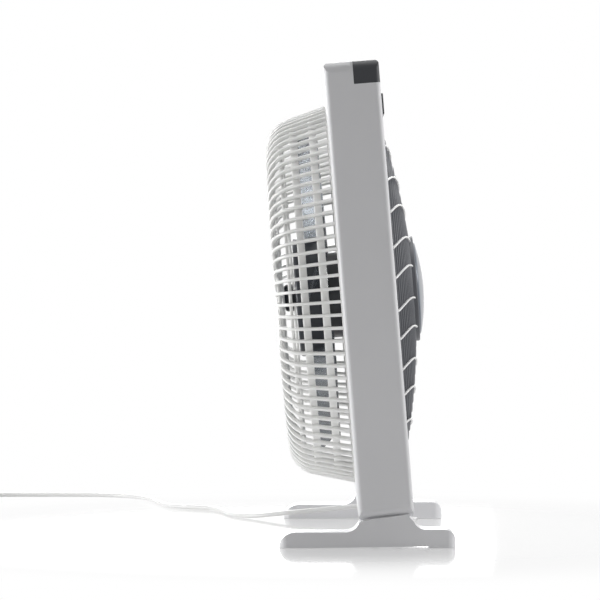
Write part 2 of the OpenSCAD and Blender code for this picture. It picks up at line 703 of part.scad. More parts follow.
module blade_nut() color("#2b2e35") behind() difference() {
    rotate_extrude($fn = smooth) polygon(concat([[0, cup_back_b], [nut_r, cup_back_b]],
        arc([nut_r - 5, nut_end_b - 5], 5, 0, 90, 4), [[0, nut_end_b]]));
    rod(shaft_r + snug, cup_back_b - cut, shaft_end_b + 0.5, smooth);
    around(8, nut_r + 1.6, 0) rod(2.6, cup_back_b - cut, nut_end_b + cut, 24);
}

// Small motor and shaft that turn the disc
grille_ear_r = grille_motor_r + 5;
module grille_motor() color("#b9bcbf") on_axis() difference() {
    union() {
        rod(grille_motor_r, spider_front, grille_can_top, fine);
        rod(grille_shaft_r + 3, grille_can_top - cut, grille_neck_top, smooth);
        translate([-grille_ear_r - 4, -4.5, spider_front]) cube([2 * grille_ear_r + 8, 9, 2]);
    }
    rod(grille_shaft_r + running, grille_bore_z, grille_neck_top + cut, smooth);
    around(2, grille_ear_r) rod(small_screw[0] + running, spider_front - cut, spider_front + 2 + cut, 24);
}
module grille_motor_screws() color("#b5b7b9") on_axis() around(2, grille_ear_r)
    translate([0, 0, spider_front + 2]) screw(small_screw, 2 + plate_t);
module grille_shaft() color("#c9cbcd") on_axis()
    rod(grille_shaft_r, grille_bore_z + ease, grille_shaft_top, smooth);
module grille_nut() color("#c9cbcd") on_axis() difference() {
    rod(6.5, hub_plate_z + hub_plate_t, grille_shaft_top + 0.5, 6);
    rod(grille_shaft_r + snug, hub_plate_z, grille_shaft_top + cut, smooth);
}

// Turning disc: rings under a dome, held by spokes behind them
function dome(r) = dome_peak - r * r / (2 * dome_r);
module spoke() {
    reach = grille_r - rim_t / 2;
    rows = [for (i = [0:4]) hub_plate_r - 2 + (reach - hub_plate_r + 2) * i / 4];
    rotate([90, 0, 0]) linear_extrude(spoke_t, center = true) polygon(concat(
        [for (r = rows) [r, dome(r) - ring_depth - 2.5]],
        [for (r = reversed(rows)) [r, dome(r) - ring_depth + 1.5]]));
}
module grille_disc() color("#5b5e64") on_axis() rotate(disc_turn) difference() {
    union() {
        tube(grille_r, grille_r - rim_t, dome(grille_r) - ring_depth - 1, dome(grille_r));
        for (r = [grille_r - ring_pitch:-ring_pitch:hub_plate_r + 2])
            tube(r, r - ring_t, dome(r) - ring_depth, dome(r));
        around(spoke_count, 0, 180 / spoke_count) spoke();
        rod(hub_plate_r, hub_plate_z, hub_plate_z + hub_plate_t, fine);
        tube(hub_ring_r, hub_ring_r - 3.5, hub_plate_z + 1, hub_ring_top);
        rod(grille_boss_r, grille_neck_top + ease, hub_plate_z + 1, smooth);
    }
    rod(grille_shaft_r + snug, grille_neck_top, grille_shaft_top, smooth);
}

// White bars: each waves up on the left half and down on the right half
function wave(x) = x < 0 ? bar_wave * sin(180 * -x / grille_r) : -bar_wave * sin(180 * x / grille_r);
function bar_point(x, level) = let (y = level + wave(x), r = sqrt(x * x + y * y))
    [x, y, dome(r)];
function half_chord(level, r) = sqrt(max(0, r * r - level * level));
function bar_level(i) = (i - (bar_count - 1) / 2) * bar_pitch + (i % 2 == 0 ? -bar_stagger : bar_stagger);
// Where a bar meets the circle of radius r, found closer at each try
function bar_end(level, side, r, x = 0, tries = 5) = tries == 0 ? x
    : bar_end(level, side, r, side * half_chord(level + wave(x), r), tries - 1);
function bar_rings(x0, x1, level) = [for (i = [0:bar_steps]) let (
    p = bar_point(x0 + (x1 - x0) * i / bar_steps, level))
    each [[p[0], p[1] - bar_t / 2, p[2] + bar_lift], [p[0], p[1] + bar_t / 2, p[2] + bar_lift],
        [p[0], p[1] + bar_t / 2, p[2] + bar_proud], [p[0], p[1] - bar_t / 2, p[2] + bar_proud]]];
module bar_piece(x0, x1, level)
    polyhedron(points = bar_rings(x0, x1, level), faces = tube_faces(bar_steps + 1, 4));
module grille_bars() color("#f2f2f1") on_axis() rotate(disc_turn) {
    tube(grille_r, grille_r - rim_t + 0.5, dome(grille_r), dome(grille_r) + rim_ring_t);
    end_r = grille_r - bar_end_in;
    hub_end = hub_plate_r + 1;
    for (i = [0:bar_count - 1]) {
        level = bar_level(i);
        if (abs(level) > hub_end) bar_piece(bar_end(level, -1, end_r), bar_end(level, 1, end_r), level);
        else {
            bar_piece(bar_end(level, -1, end_r), bar_end(level, -1, hub_end), level);
            bar_piece(bar_end(level, 1, hub_end), bar_end(level, 1, end_r), level);
        }
    }
}
module hub_cap() color("#6c7179") on_axis() {
    sphere_r = (cap_r * cap_r + cap_rise * cap_rise) / (2 * cap_rise);
    span = asin(cap_r / sphere_r);
    centre_z = cap_edge_z + cap_rise - sphere_r;
    foot_z = hub_plate_z + hub_plate_t;
    rotate_extrude($fn = fine) polygon(concat([[cap_r, foot_z]], arc([0, centre_z], sphere_r, 90 - span, 90, 8),
        [[0, cap_edge_z + cap_rise - wall], [cap_r - wall, cap_edge_z - 1], [cap_r - wall, foot_z]]));
}

// Keys and their switch bank, on the housing
module key(i) on_wall() translate([bank_x + (i - (key_count - 1) / 2) * key_pitch, bank_y, 0]) {
    translate([0, 0, (key_root_z + front_z + key_proud) / 2])
        soft_box(key_w, key_h, front_z + key_proud - key_root_z, 1.5, 1.2);
    translate([-stem_w / 2, -stem_w / 2, stem_tip_z]) cube([stem_w, stem_w, key_root_z - stem_tip_z + cut]);
}
module off_key() color("#33363f") key(0);
module low_key() color("#33363f") key(1);
module medium_key() color("#33363f") key(2);
module high_key() color("#33363f") key(3);
module turn_key() color("#33363f") key(4);
module key_switch() color("#e8e2d0") on_wall() translate([bank_x, bank_y, 0]) difference() {
    union() {
        slab(switch_back_z, switch_front_z) square([bank_w, key_h - 4], center = true);
        slab(switch_front_z - ear_t, switch_front_z) square([bank_w + 2 * ear_w + 2, ear_w], center = true);
    }
    for (i = [0:key_count - 1]) translate([(i - (key_count - 1) / 2) * key_pitch, 0, 0])
        slab(stem_tip_z - key_travel - 1.5, switch_front_z + cut)
            square([stem_w + 2 * ease, stem_w + 2 * ease], center = true);
    for (s = [-1, 1]) translate([s * post_x, 0, 0])
        rod(small_screw[0] + 0.1, switch_front_z - ear_t - cut, switch_front_z + cut, 24);
}
module switch_screws() color("#b5b7b9") on_wall() for (s = [-1, 1])
    translate([bank_x + s * post_x, bank_y, switch_front_z - ear_t]) rotate([180, 0, 0]) screw(small_screw, 8);

// Electrical pieces in the housing's lower corners
module capacitor() color("#e9e9e7") on_wall()
    translate([capacitor_at[0], capacitor_at[1], inner_front_z - capacitor_size[2] / 2])
        soft_box(capacitor_size[0], capacitor_size[1], capacitor_size[2], 3, 1);
module terminal_block() color("#f1efe8") on_wall()
    translate([block_at[0], block_at[1], inner_front_z - block_size[2]]) difference() {
        linear_extrude(block_size[2]) square([block_size[0], block_size[1]], center = true);
        for (x = [-9, 0, 9]) translate([x, 0, 0]) rod(2.4, -cut, 5, 24);
    }
lead_z = spider_back - lug_h - ease - lead_r;
arm_lead_z = spider_back + sink - ease - lead_r;
upward = placed([0, 1, 0]) - placed([0, 0, 0]);
ahead = placed([0, 0, 1]) - placed([0, 0, 0]);
module inner_cord() color("#e6e6e4") {
    top = [gland_x, -body_h / 2 + wall + gland_flange_t, gland_z];
    end = [block_at[0] - 1, block_at[1], inner_front_z - block_size[2]];
    low = -body_h / 2;
    path = smooth_path([for (p = [top, top + [0, 12, 0], [gland_x + 6, low + 20.5, -2],
        [gland_x + 17, low + 24.5, -5], end + [0, 0, -6], end]) placed(p)], 2);
    swept(path, cord_r - 0.6, 8, upward, ahead);
}
module motor_lead() color("#3c3f45") {
    from = [block_at[0] - 8, block_at[1], inner_front_z - block_size[2]];
    under_lug = function (r) [r * cos(60), -r * sin(60) - fan_drop, lead_z];
    under_arm = function (r) [r * cos(60), -r * sin(60) - fan_drop, arm_lead_z];
    path = [for (p = [from, from + [0, 0, -5], [block_at[0] - 28, block_at[1] + 6, lead_z],
        [block_at[0] - 62, block_at[1] + 4, lead_z], under_lug(opening_r + 24), under_lug(opening_r + 12),
        under_lug(opening_r), under_lug(ring_in - 9), under_arm(ring_in - 27), under_arm(100),
        under_arm(motor_r - 3)]) placed(p)];
    swept(smooth_path(path, 2), lead_r, 6, -ahead);
}
module switch_lead() color("#3c3f45") {
    from = [block_at[0] + 8, block_at[1], inner_front_z - block_size[2]];
    to = [bank_x - bank_w / 4, bank_y - key_h / 2 + 2, 0];
    side = body_w / 2;
    low = -body_h / 2;
    path = [for (p = [from, from + [0, 0, -6], [side - 39, low + 14.5, 0], [side - 85, low + 11.5, 0],
        [0, low + 9.5, 0], [85 - side, low + 11.5, 0], [39 - side, low + 14.5, 0], [15 - side, low + 29.5, 0],
        [9 - side, low + 55.5, 0], [8 - side, -100, 0], [8 - side, 100, 0], [9 - side, bank_y - 31, 0],
        [25 - side, bank_y - 19, 0], to + [0, -8, 0], to]) placed(p)];
    swept(smooth_path(path, 2), lead_r, 6, -ahead, upward);
}

// Screws
module cover_screws() color("#b5b7b9") on_wall() for (p = cover_screw_at)
    translate([p[0], p[1], cover_seat_z]) rotate([180, 0, 0]) screw(big_screw, cover_screw_l);
module guard_screws() color("#b5b7b9") on_wall() on_guard_screws()
    translate([0, 0, joint_z + flange_t]) screw(small_screw, flange_t + 4.5);
module spider_screws() color("#b5b7b9") on_axis() around(arm_count, opening_r - 4)
    translate([0, 0, spider_front]) screw(big_screw, spider_t + 7);
module bar_screws() color("#b5b7b9") on_wall() bar_screw_places() translate([0, 0, wall]) screw(big_screw, wall + 10);
module foot_screws() color("#b5b7b9") on_wall() for (s = [-1, 1]) for (z = foot_screw_z)
    translate([s * foot_x, -body_h / 2 - saddle_gap - foot_floor_t, z]) rotate([90, 0, 0]) screw(big_screw, foot_screw_l);

// Strain relief: a collar through the housing's floor and a boot that points down and back
gland_r = 5.6;
gland_flange_t = 2;
boot_start = placed([gland_x, -body_h / 2 - gland_drop, gland_z]);
boot_way = [0, cos(boot_dip), -sin(boot_dip)];
boot_end = boot_start + boot_l * boot_way;
module strain_relief() color("#e9e9e7") {
    on_wall() translate([gland_x, -body_h / 2, gland_z]) rotate([-90, 0, 0]) {
        rod(gland_r, -gland_drop, wall + 0.5, 32);
        rod(gland_r + 2.4, wall, wall + gland_flange_t, 32);
    }
    translate(boot_start) sphere(r = gland_r + 0.5, $fn = 32);
    translate(boot_start) rotate([-90 - boot_dip, 0, 0]) {
        cylinder(h = boot_l, r1 = gland_r - 0.6, r2 = cord_r + 0.9, $fn = 32);
        for (k = [2:4]) rod(gland_r + 0.3 - k * 0.45, k * 4, k * 4 + 1.8, 32);
    }
}

// Cord: the run over the floor, the coil of what is put away, and the tail to the plug
coil_start = [coil_centre[0] + coil_r, coil_centre[1], floor_z];
run_path = smooth_path(concat([boot_end, boot_end + 5 * boot_way], route_start, [coil_start]), 2);
function coil_radius(t) = t < in_turns ? coil_r - turn_pitch * t
    : t < in_turns + 0.5 ? coil_r - turn_pitch * in_turns
    : coil_r - turn_pitch * (in_turns - (t - in_turns - 0.5));
function coil_height(t) = floor_z + turn_pitch * (t < in_turns ? 0 : t < in_turns + 0.5
    ? (1 - cos(360 * (t - in_turns))) / 2 : 1);
coil_turns = in_turns + 0.5 + out_turns;
coil_path = [for (i = [0:coil_turns * turn_steps]) let (t = i / turn_steps, r = coil_radius(t))
    [coil_centre[0] + r * cos(360 * t), coil_centre[1] + r * sin(360 * t), coil_height(t)]];
coil_end = coil_path[len(coil_path) - 1];
tail_path = smooth_path(concat([coil_end], tail_points), 1);
coil_gap = min([for (i = [0:len(coil_path) - 1]) for (j = [i + 12:1:len(coil_path) - 1])
    norm(coil_path[i] - coil_path[j])]) - cord_d;
cord_length = path_length(run_path) + path_length(coil_path) + path_length(tail_path);
echo(cord_length = cord_length, coil_gap = coil_gap, run = path_length(run_path), coil = path_length(coil_path));
module cord_run() color("#e9e9e7") swept(run_path, cord_r, 8, boot_way, [0, 1, 0]);
module cord_coil() color("#e9e9e7") swept(coil_path, cord_r, 6, [0, 1, 0], [0, 1, 0]);
module cord_tail() color("#e9e9e7") swept(tail_path, cord_r, 8, [0, 1, 0], [0, 1, 0]);

// Flat two-pin plug, lying on the floor
plug_start = tail_points[len(tail_points) - 1];
module plug() color("#e9e9e7") translate([plug_start[0], plug_start[1], plug_z]) rotate([-90, 0, 0]) {
    cylinder(h = plug_neck_l + 1, r1 = cord_r + 0.8, r2 = cord_r + 2.6, $fn = 32);
    difference() {
        translate([0, 0, plug_neck_l]) intersection() {
            linear_extrude(plug_l) polygon(rounded_rect(plug_w, plug_t, 5));
            rotate([90, 0, 0]) linear_extrude(plug_t, center = true) polygon([[-9, 0], [9, 0], [plug_w / 2, 15],
                [plug_w / 2, 27], [13.5, plug_l], [-13.5, plug_l], [-plug_w / 2, 27], [-plug_w / 2, 15]]);
        }
        pin_places() rod(pin_r + snug, -6, 1, 24);
    }
}
module pin_places() for (s = [-1, 1]) translate([s * pin_space / 2, 0, plug_neck_l + plug_l]) children();
module plug_pins() color("#c9cbcd") translate([plug_start[0], plug_start[1], plug_z]) rotate([-90, 0, 0])
    pin_places() rod(pin_r, -6, pin_l, 24);

housing();
rear_cover();
rear_guard();
handle_bar();
left_foot();
right_foot();
foot_pads();
motor_spider();
motor_front_shell();
motor_rear_shell();
stator_core();
windings();
front_bearing();
rear_bearing();
rotor();
motor_shaft();
fan_blade();
blade_nut();
grille_motor();
grille_shaft();
grille_disc();
grille_bars();
grille_nut();
hub_cap();
key_switch();
off_key();
low_key();
medium_key();
high_key();
turn_key();
capacitor();
terminal_block();
inner_cord();
motor_lead();
switch_lead();
cover_screws();
guard_screws();
spider_screws();
motor_bolts();
motor_screws();
grille_motor_screws();
switch_screws();
bar_screws();
foot_screws();
strain_relief();
cord_run();
cord_coil();
cord_tail();
plug();
plug_pins();
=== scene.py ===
"""Dresses a box fan on two feet: basket, blades, turning disc, shells and cord, and the stage round it."""

import json
from contextlib import contextmanager
from functools import cache
from math import asin, atan, atan2, cos, hypot, pi, radians, sin, sqrt, tan

import bmesh
import bpy
from mathutils import Matrix, Vector


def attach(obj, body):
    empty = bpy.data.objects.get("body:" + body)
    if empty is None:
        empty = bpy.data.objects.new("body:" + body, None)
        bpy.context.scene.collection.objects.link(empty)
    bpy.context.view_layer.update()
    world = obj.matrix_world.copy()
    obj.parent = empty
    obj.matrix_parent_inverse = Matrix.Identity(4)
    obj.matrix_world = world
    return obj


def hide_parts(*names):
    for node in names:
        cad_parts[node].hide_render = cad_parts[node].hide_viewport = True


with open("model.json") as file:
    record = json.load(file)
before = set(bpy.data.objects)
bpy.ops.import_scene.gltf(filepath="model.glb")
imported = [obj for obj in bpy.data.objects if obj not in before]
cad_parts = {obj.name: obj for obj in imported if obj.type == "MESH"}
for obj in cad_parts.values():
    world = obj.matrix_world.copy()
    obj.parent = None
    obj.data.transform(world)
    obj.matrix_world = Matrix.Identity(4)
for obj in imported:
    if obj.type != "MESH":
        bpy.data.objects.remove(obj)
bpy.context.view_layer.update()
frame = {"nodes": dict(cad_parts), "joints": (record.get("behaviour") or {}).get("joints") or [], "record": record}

bl_info = {
    "name": "Box Fan",
    "version": (1, 0, 0),
    "blender": (4, 5, 0),
    "location": "3D View > Sidebar > Box Fan",
    "description": "Dresses a box fan on two feet and sets the stage round it",
    "category": "Object",
}

# Frames of the leaning fan: X right, Y up along the lean, Z forward, about the axis or the housing's middle
SPIN = next(j for j in frame["joints"] if j["name"] == "blade_spin")
FRONT = Vector(SPIN["axis"]).normalized()
RIGHT = Vector((1, 0, 0))
UP = FRONT.cross(RIGHT).normalized()
FAN_DROP = 0.003
AXIS = Matrix.Translation(Vector(SPIN["pos_m"])) @ Matrix((RIGHT, UP, FRONT)).transposed().to_4x4()
WALL = AXIS @ Matrix.Translation((0, FAN_DROP, 0))
BEHIND = AXIS @ Matrix.Rotation(pi, 4, "Y")

# Sizes of the fan that the solids fix, in millimetres; depths count back from the housing's middle
BODY_W = 450
BODY_H = 471
BODY_T = 57
EDGE_R = 5
GUARD_R = 206.5
GUARD_BACK = 97.5
WALL_SLOPE = 0.2755
SHOULDER_R = 34
PLATE_R = 43
SHORT_RIB_R = 106
GRILLE_R = 185
DOME_PEAK = 52.9
DOME_R = 700
HUB_PLATE_R = 61
HUB_RING_R = 57.5
CAP_SEAT = 47.5
CAP_R = 50.5
CAP_EDGE = 56.2
CAP_RISE = 6.6
CUP_R = 65
CUP_BACK = 76.5
BLADE_R = 175


def mm(*values):
    """Millimetres as metres: one number, or a tuple of them."""
    scaled = tuple(v / 1000 for v in values)
    return scaled[0] if len(scaled) == 1 else scaled


def to_mm(*lengths):
    """Lengths that the user sets, in millimetres."""
    return [v * 1000 for v in lengths]


# Colours and finishes

WHITE = (1, 1, 1, 1)
# Radians that a wave texture turns through in one unit
WAVE_TURN = 20
# Turns the lines of a wave texture into the plane of the blades
LEAN_TURN = (atan2(FRONT[2], -FRONT[1]) + pi / 2, 0, 0)


def linear(hex_colour):
    """An sRGB hex colour as linear RGBA."""
    parts = [int(hex_colour[i:i + 2], 16) / 255 for i in (1, 3, 5)]
    return (*[c / 12.92 if c <= 0.04045 else ((c + 0.055) / 1.055) ** 2.4 for c in parts], 1)


def feed(tree, node, inputs):
    """Gives a node's inputs a value, a socket or another node's first output."""
    for key, value in inputs.items():
        if isinstance(value, bpy.types.Node):
            value = value.outputs[0]
        if isinstance(value, bpy.types.NodeSocket):
            tree.links.new(value, node.inputs[key])
        else:
            node.inputs[key].default_value = value
    return node


def add(tree, kind, inputs=None, **settings):
    """Adds a node, sets its properties and feeds its inputs."""
    made = tree.nodes.new(kind)
    for name, value in settings.items():
        setattr(made, name, value)
    return feed(tree, made, inputs or {})


def surface(name, colour, tint, rough, grain, constants):
    """A material with a colour and a roughness that drift, and a fine grain if it has one.

    The tint is (share, patch), the roughness (middle, reach, patch) and the grain (size, depth, strength), in
    millimetres. The constants are set on the shader's own sockets.
    """
    material = bpy.data.materials.new(name)
    material.use_nodes = True
    tree = material.node_tree
    tree.nodes.clear()
    place = add(tree, "ShaderNodeTexCoord").outputs["Object"]

    def cloud(patch, detail):
        return add(tree, "ShaderNodeTexNoise", {"Vector": place, "Scale": 1000 / patch, "Detail": detail})

    share, patch = tint
    low, high = ([min(1, c * k) for c in linear(colour)[:3]] + [1] for k in (1 - share, 1 + share))
    tinted = add(tree, "ShaderNodeMix", {"Factor": cloud(patch, 3.0), 6: low, 7: high}, data_type="RGBA")
    middle, reach, patch = rough
    drifting = add(tree, "ShaderNodeMapRange",
                   {"Value": cloud(patch, 4.0), "To Min": middle - reach, "To Max": middle + reach})
    inputs = {"Base Color": tinted.outputs[2], "Roughness": drifting, **constants}
    if grain:
        size, depth, strength = grain
        inputs["Normal"] = add(tree, "ShaderNodeBump",
                               {"Height": cloud(size, 2.0), "Distance": mm(depth), "Strength": strength})
    shader = add(tree, "ShaderNodeBsdfPrincipled", inputs)
    add(tree, "ShaderNodeOutputMaterial", {"Surface": shader})
    return material


def insides(material):
    """A material's tree, its main shader and its Object coordinates."""
    nodes = material.node_tree.nodes
    return material.node_tree, nodes["Principled BSDF"], nodes["Texture Coordinate"].outputs["Object"]


def moulded(name, colour, roughness, grain_mm, grain_depth=0.05, sheen=0.0, glow=0.0):
    """Injection-moulded plastic. Its grain breaks the highlights up, and its colour drifts by a hair."""
    return surface(name, colour, (0.02, 60), (roughness, 0.05, 25), (grain_mm, grain_depth, 0.35), {
        "IOR": 1.5,
        "Coat Weight": sheen,
        "Coat Roughness": 0.2,
        "Subsurface Weight": glow,
        "Subsurface Radius": mm(3.0, 3.0, 3.0),
        "Subsurface Scale": 1.0,
    })


def metal(name, colour, roughness, grain_mm, spread=0.05):
    """Bare metal: its roughness drifts with handling and its surface has a fine tooled grain."""
    return surface(name, colour, (spread, 15), (roughness, 0.07, 8), (grain_mm, 0.02, 0.3), {"Metallic": 1.0})


def in_layers(material, step_mm, depth_mm):
    """Adds fine parallel lines to a material, such as stamped sheets or turns of wire."""
    tree, shader, place = insides(material)
    turned = add(tree, "ShaderNodeMapping", {"Vector": place, "Rotation": LEAN_TURN})
    lines = add(tree, "ShaderNodeTexWave", {"Vector": turned, "Scale": 1000 / step_mm / WAVE_TURN},
                bands_direction="Z")
    bump = {"Height": lines.outputs["Fac"], "Distance": mm(depth_mm), "Strength": 0.6}
    feed(tree, shader, {"Normal": add(tree, "ShaderNodeBump", bump)})
    return material


def charcoal():
    """Charcoal ABS of the carrying bar and keys: dark, faintly blue and matt."""
    return moulded("charcoal_abs_matt", shown("handle"), 0.5, 1.0, 0.06)


# One finish for each slot of the record, and two more for pieces that differ from their slot
FINISHES = {
    # White ABS from an eroded mould: an even, barely warm white with a fine satin grain
    "white_body": lambda: moulded("white_abs_satin", shown("shell"), 0.42, 1.2),
    # White polypropylene of the basket: smoother, with a soft gloss along each rib's rounded edges. Its colour is
    # set whiter than the housing's white as painted light, standing in for the light from behind that brightens
    # the ribs
    "basket": lambda: moulded("white_polypropylene_basket", shown("basket"), 0.34, 2.0, 0.03, glow=0.4),
    # White hot-stamped faces of the wavy bars: a clean bright white with little grain
    "white_bars": lambda: moulded("white_stamped_bars", shown("bars"), 0.36, 2.0, 0.02),
    "dark_bar": charcoal,
    "dark_keys": charcoal,
    # Dark grey polypropylene of the turning disc: its ring edges catch a dull grey light
    "grey_disc": lambda: moulded("dark_grey_polypropylene", shown("disc"), 0.44, 1.4),
    # Slate ABS of the cap with a pearl lacquer: a soft cool gradient across the dome
    "slate_cap": lambda: surface("slate_abs_pearl_lacquer", shown("cap"), (0.03, 30), (0.3, 0.04, 20),
                                 (0.9, 0.02, 0.2),
                                 {"Metallic": 0.15, "Coat Weight": 0.4, "Coat Roughness": 0.15}),
    # Smoked AS resin of the blades: a thin blue-grey that light comes through
    "smoke_blade": lambda: surface("smoked_as_resin", shown("blade"), (0.04, 80), (0.2, 0.04, 30), None,
                                   {"IOR": 1.3, "Transmission Weight": 0.8}),
    # The same resin where the hub's cup is thick: nearly black, with a soft gloss
    "hub": lambda: moulded("smoked_as_resin_hub", shown("hub"), 0.3, 1.6, 0.02),
    # Die-cast shells under clear lacquer: a soft, even grey
    "motor_shell": lambda: metal("lacquered_aluminium_shell", "#a6a8aa", 0.45, 1.0),
    # Deep-drawn steel under black stove enamel: dark, with a satin edge light
    "dark_shell": lambda: moulded("black_stove_enamel", "#3a3c40", 0.38, 1.6, sheen=0.2),
    # Stamped electrical steel: the sheets' edges show as fine lines, drawn coarser than the real 0.5 mm
    "laminations": lambda: in_layers(metal("stamped_electrical_steel", "#85888b", 0.4, 0.8), 1.5, 0.15),
    # Enamelled copper wire: warm and glossy, with the turns as fine ridges, drawn coarser than 0.4 mm
    "copper": lambda: in_layers(metal("enamelled_copper_wire", "#b5662e", 0.3, 1.0), 1.2, 0.3),
    # Sintered bronze bush: a dull brown gold
    "bronze": lambda: metal("sintered_bronze", "#9a7a3c", 0.5, 0.6),
    # Ground steel: bright, with fine marks
    "steel": lambda: metal("ground_steel", "#bfc1c3", 0.25, 0.5),
    # Zinc-plated screws: pale and slightly cloudy
    "zinc_screws": lambda: metal("zinc_plated_steel", "#b2b4b6", 0.36, 0.7, 0.08),
    # Cream nylon of switch and terminals: waxy and matt
    "cream_nylon": lambda: moulded("cream_nylon", "#e6dfcb", 0.5, 1.0, glow=0.05),
    # Capacitor's moulded case: clean white
    "capacitor_case": lambda: moulded("white_pbt_case", "#e6e6e3", 0.4, 1.2),
    # PVC sleeve of the inner leads: dark and soft
    "lead_sheath": lambda: moulded("dark_pvc_sleeve", "#393b40", 0.45, 1.2),
    # PVC cord: white, soft and slightly glossy
    "cord_sheath": lambda: moulded("white_pvc_cord", "#ebebea", 0.36, 2.0, 0.03, glow=0.08),
    # Nickel-plated brass pins: pale and bright
    "pins": lambda: metal("nickel_plated_brass", "#d2cdbd", 0.2, 0.5),
    # Moulded rubber pads: grey and dull
    "grey_rubber": lambda: moulded("grey_rubber", "#8a8b8d", 0.75, 0.8),
}


def shown(part):
    """The user's colour for a part, as sRGB hex."""
    return getattr(bpy.context.scene.fan_colours, part)


@cache
def finish_of(key):
    """The material of a finish, made once."""
    return FINISHES[key]()


# Meshes

# Edges of the pieces that keep a solid's shape stay crisp above this angle
CRISP = 28


def put(name, data):
    """A new object at the origin from its data."""
    made = bpy.data.objects.new(name, data)
    bpy.context.scene.collection.objects.link(made)
    return made


@contextmanager
def editing(mesh):
    """A mesh that is open for edits, and written back after them."""
    work = bmesh.new()
    work.from_mesh(mesh)
    yield work
    work.to_mesh(mesh)
    work.free()


def mesh_object(name, vertices, faces, place=Matrix()):
    """A mesh object from points in millimetres, with its place in its mesh and its faces turned outwards."""
    mesh = bpy.data.meshes.new(name)
    mesh.from_pydata([mm(*v) for v in vertices], [], faces)
    tidy_mesh(mesh)
    mesh.transform(place)
    return put(name, mesh)


def tidy_mesh(mesh, merge=1e-6):
    """Merges doubles and turns every shell's faces outwards."""
    with editing(mesh) as work:
        bmesh.ops.remove_doubles(work, verts=work.verts, dist=merge)
        bmesh.ops.recalc_face_normals(work, faces=work.faces)
    mesh.update()


def smooth(made, angle):
    """Shades a piece smooth, and keeps edges sharper than the angle crisp."""
    mesh = made.data
    mesh.polygons.foreach_set("use_smooth", [True] * len(mesh.polygons))
    mesh.set_sharp_from_angle(angle=radians(angle))


def settle(made):
    """Bakes a piece's modifiers into its mesh."""
    bpy.context.view_layer.update()
    mesh = bpy.data.meshes.new_from_object(made.evaluated_get(bpy.context.evaluated_depsgraph_get()))
    made.modifiers.clear()
    made.data = mesh


def joined(name, parts):
    """One object from several, whose meshes are at their places already."""
    work = bmesh.new()
    for part in parts:
        mesh = part.data
        work.from_mesh(mesh)
        bpy.data.objects.remove(part)
        bpy.data.meshes.remove(mesh)
    mesh = bpy.data.meshes.new(name)
    work.to_mesh(mesh)
    work.free()
    return put(name, mesh)


def dress(made, slot, body, nodes, angle=32, finish=None):
    """Gives a finished piece its material and its body, and hides the CAD nodes that it stands for."""
    made.data.materials.clear()
    made.data.materials.append(finish_of(finish or slot))
    if made.type == "MESH":
        smooth(made, angle)
    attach(made, body)
    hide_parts(*nodes)
    return made


def ring_path(radius, height, steps=144):
    """A level circle of points."""
    return [(radius * cos(2 * pi * k / steps), radius * sin(2 * pi * k / steps), height)
            for k in range(steps)]


def loft(rings):
    """The points of closed rings that hold equally many, and the faces between each ring and the next."""
    count = len(rings[0])
    faces = []
    for start in range(0, count * (len(rings) - 1), count):
        for k in range(count):
            n = (k + 1) % count
            faces.append([start + k, start + n, start + count + n, start + count + k])
    return [v for ring in rings for v in ring], faces


def revolved(name, profile, place, steps=160):
    """A closed profile of (radius, height) turned round the Z axis; points on the axis merge into one."""
    rings = [ring_path(r, z, steps) for r, z in profile]
    if profile[0][0] or profile[-1][0]:
        rings.append(rings[0])
    return mesh_object(name, *loft(rings), place)


def rounded(corners, radius, steps=4):
    """A closed outline with each of its corners rounded by an arc; a corner may carry its own radius."""
    points = []
    for i, corner in enumerate(corners):
        here = Vector(corner[:2])
        r = corner[2] if len(corner) > 2 else radius
        before = (Vector(corners[i - 1][:2]) - here).normalized()
        after = (Vector(corners[(i + 1) % len(corners)][:2]) - here).normalized()
        turn = before.angle(after)
        if r == 0 or turn > radians(175):
            points.append(tuple(here))
            continue
        reach = r / tan(turn / 2)
        centre = here + (before + after).normalized() * r / sin(turn / 2)
        start = here + before * reach - centre
        end = here + after * reach - centre
        sweep = start.angle_signed(end)
        points += [tuple(centre + Matrix.Rotation(-sweep * k / steps, 2) @ start) for k in range(steps + 1)]
    return points


def sweep_tree():
    """A tree that sweeps a rounded bar along each path of its mesh and repeats that round the Z axis."""
    tree = bpy.data.node_groups.new("Swept bars", "GeometryNodeTree")
    for label, kind in (("Paths", "Geometry"), ("Width", "Float"), ("Depth", "Float"), ("Rounding", "Float"),
                        ("Copies", "Int"), ("Material", "Material")):
        tree.interface.new_socket(label, in_out="INPUT", socket_type="NodeSocket" + kind)
    tree.interface.new_socket("Bars", in_out="OUTPUT", socket_type="NodeSocketGeometry")
    given = add(tree, "NodeGroupInput").outputs
    curve = add(tree, "GeometryNodeMeshToCurve", {"Mesh": given["Paths"]})
    level = add(tree, "GeometryNodeSetCurveNormal", {"Curve": curve}, mode="Z_UP")
    section = add(tree, "GeometryNodeCurvePrimitiveQuadrilateral",
                  {"Width": given["Width"], "Height": given["Depth"]}, mode="RECTANGLE")
    soft = add(tree, "GeometryNodeFilletCurve", {"Curve": section, "Radius": given["Rounding"], "Count": 3},
               mode="POLY")
    bar = add(tree, "GeometryNodeCurveToMesh", {"Curve": level, "Profile Curve": soft, "Fill Caps": True})
    places = add(tree, "GeometryNodePoints", {"Count": given["Copies"]})
    step = add(tree, "ShaderNodeMath", {0: 2 * pi, 1: given["Copies"]}, operation="DIVIDE")
    index = add(tree, "GeometryNodeInputIndex")
    turn = add(tree, "ShaderNodeMath", {0: index, 1: step}, operation="MULTIPLY")
    spin = add(tree, "ShaderNodeCombineXYZ", {"Z": turn})
    copies = add(tree, "GeometryNodeInstanceOnPoints", {"Points": places, "Instance": bar, "Rotation": spin})
    real = add(tree, "GeometryNodeRealizeInstances", {"Geometry": copies})
    coated = add(tree, "GeometryNodeSetMaterial", {"Geometry": real, "Material": given["Material"]})
    add(tree, "NodeGroupOutput", {"Bars": coated})
    return tree


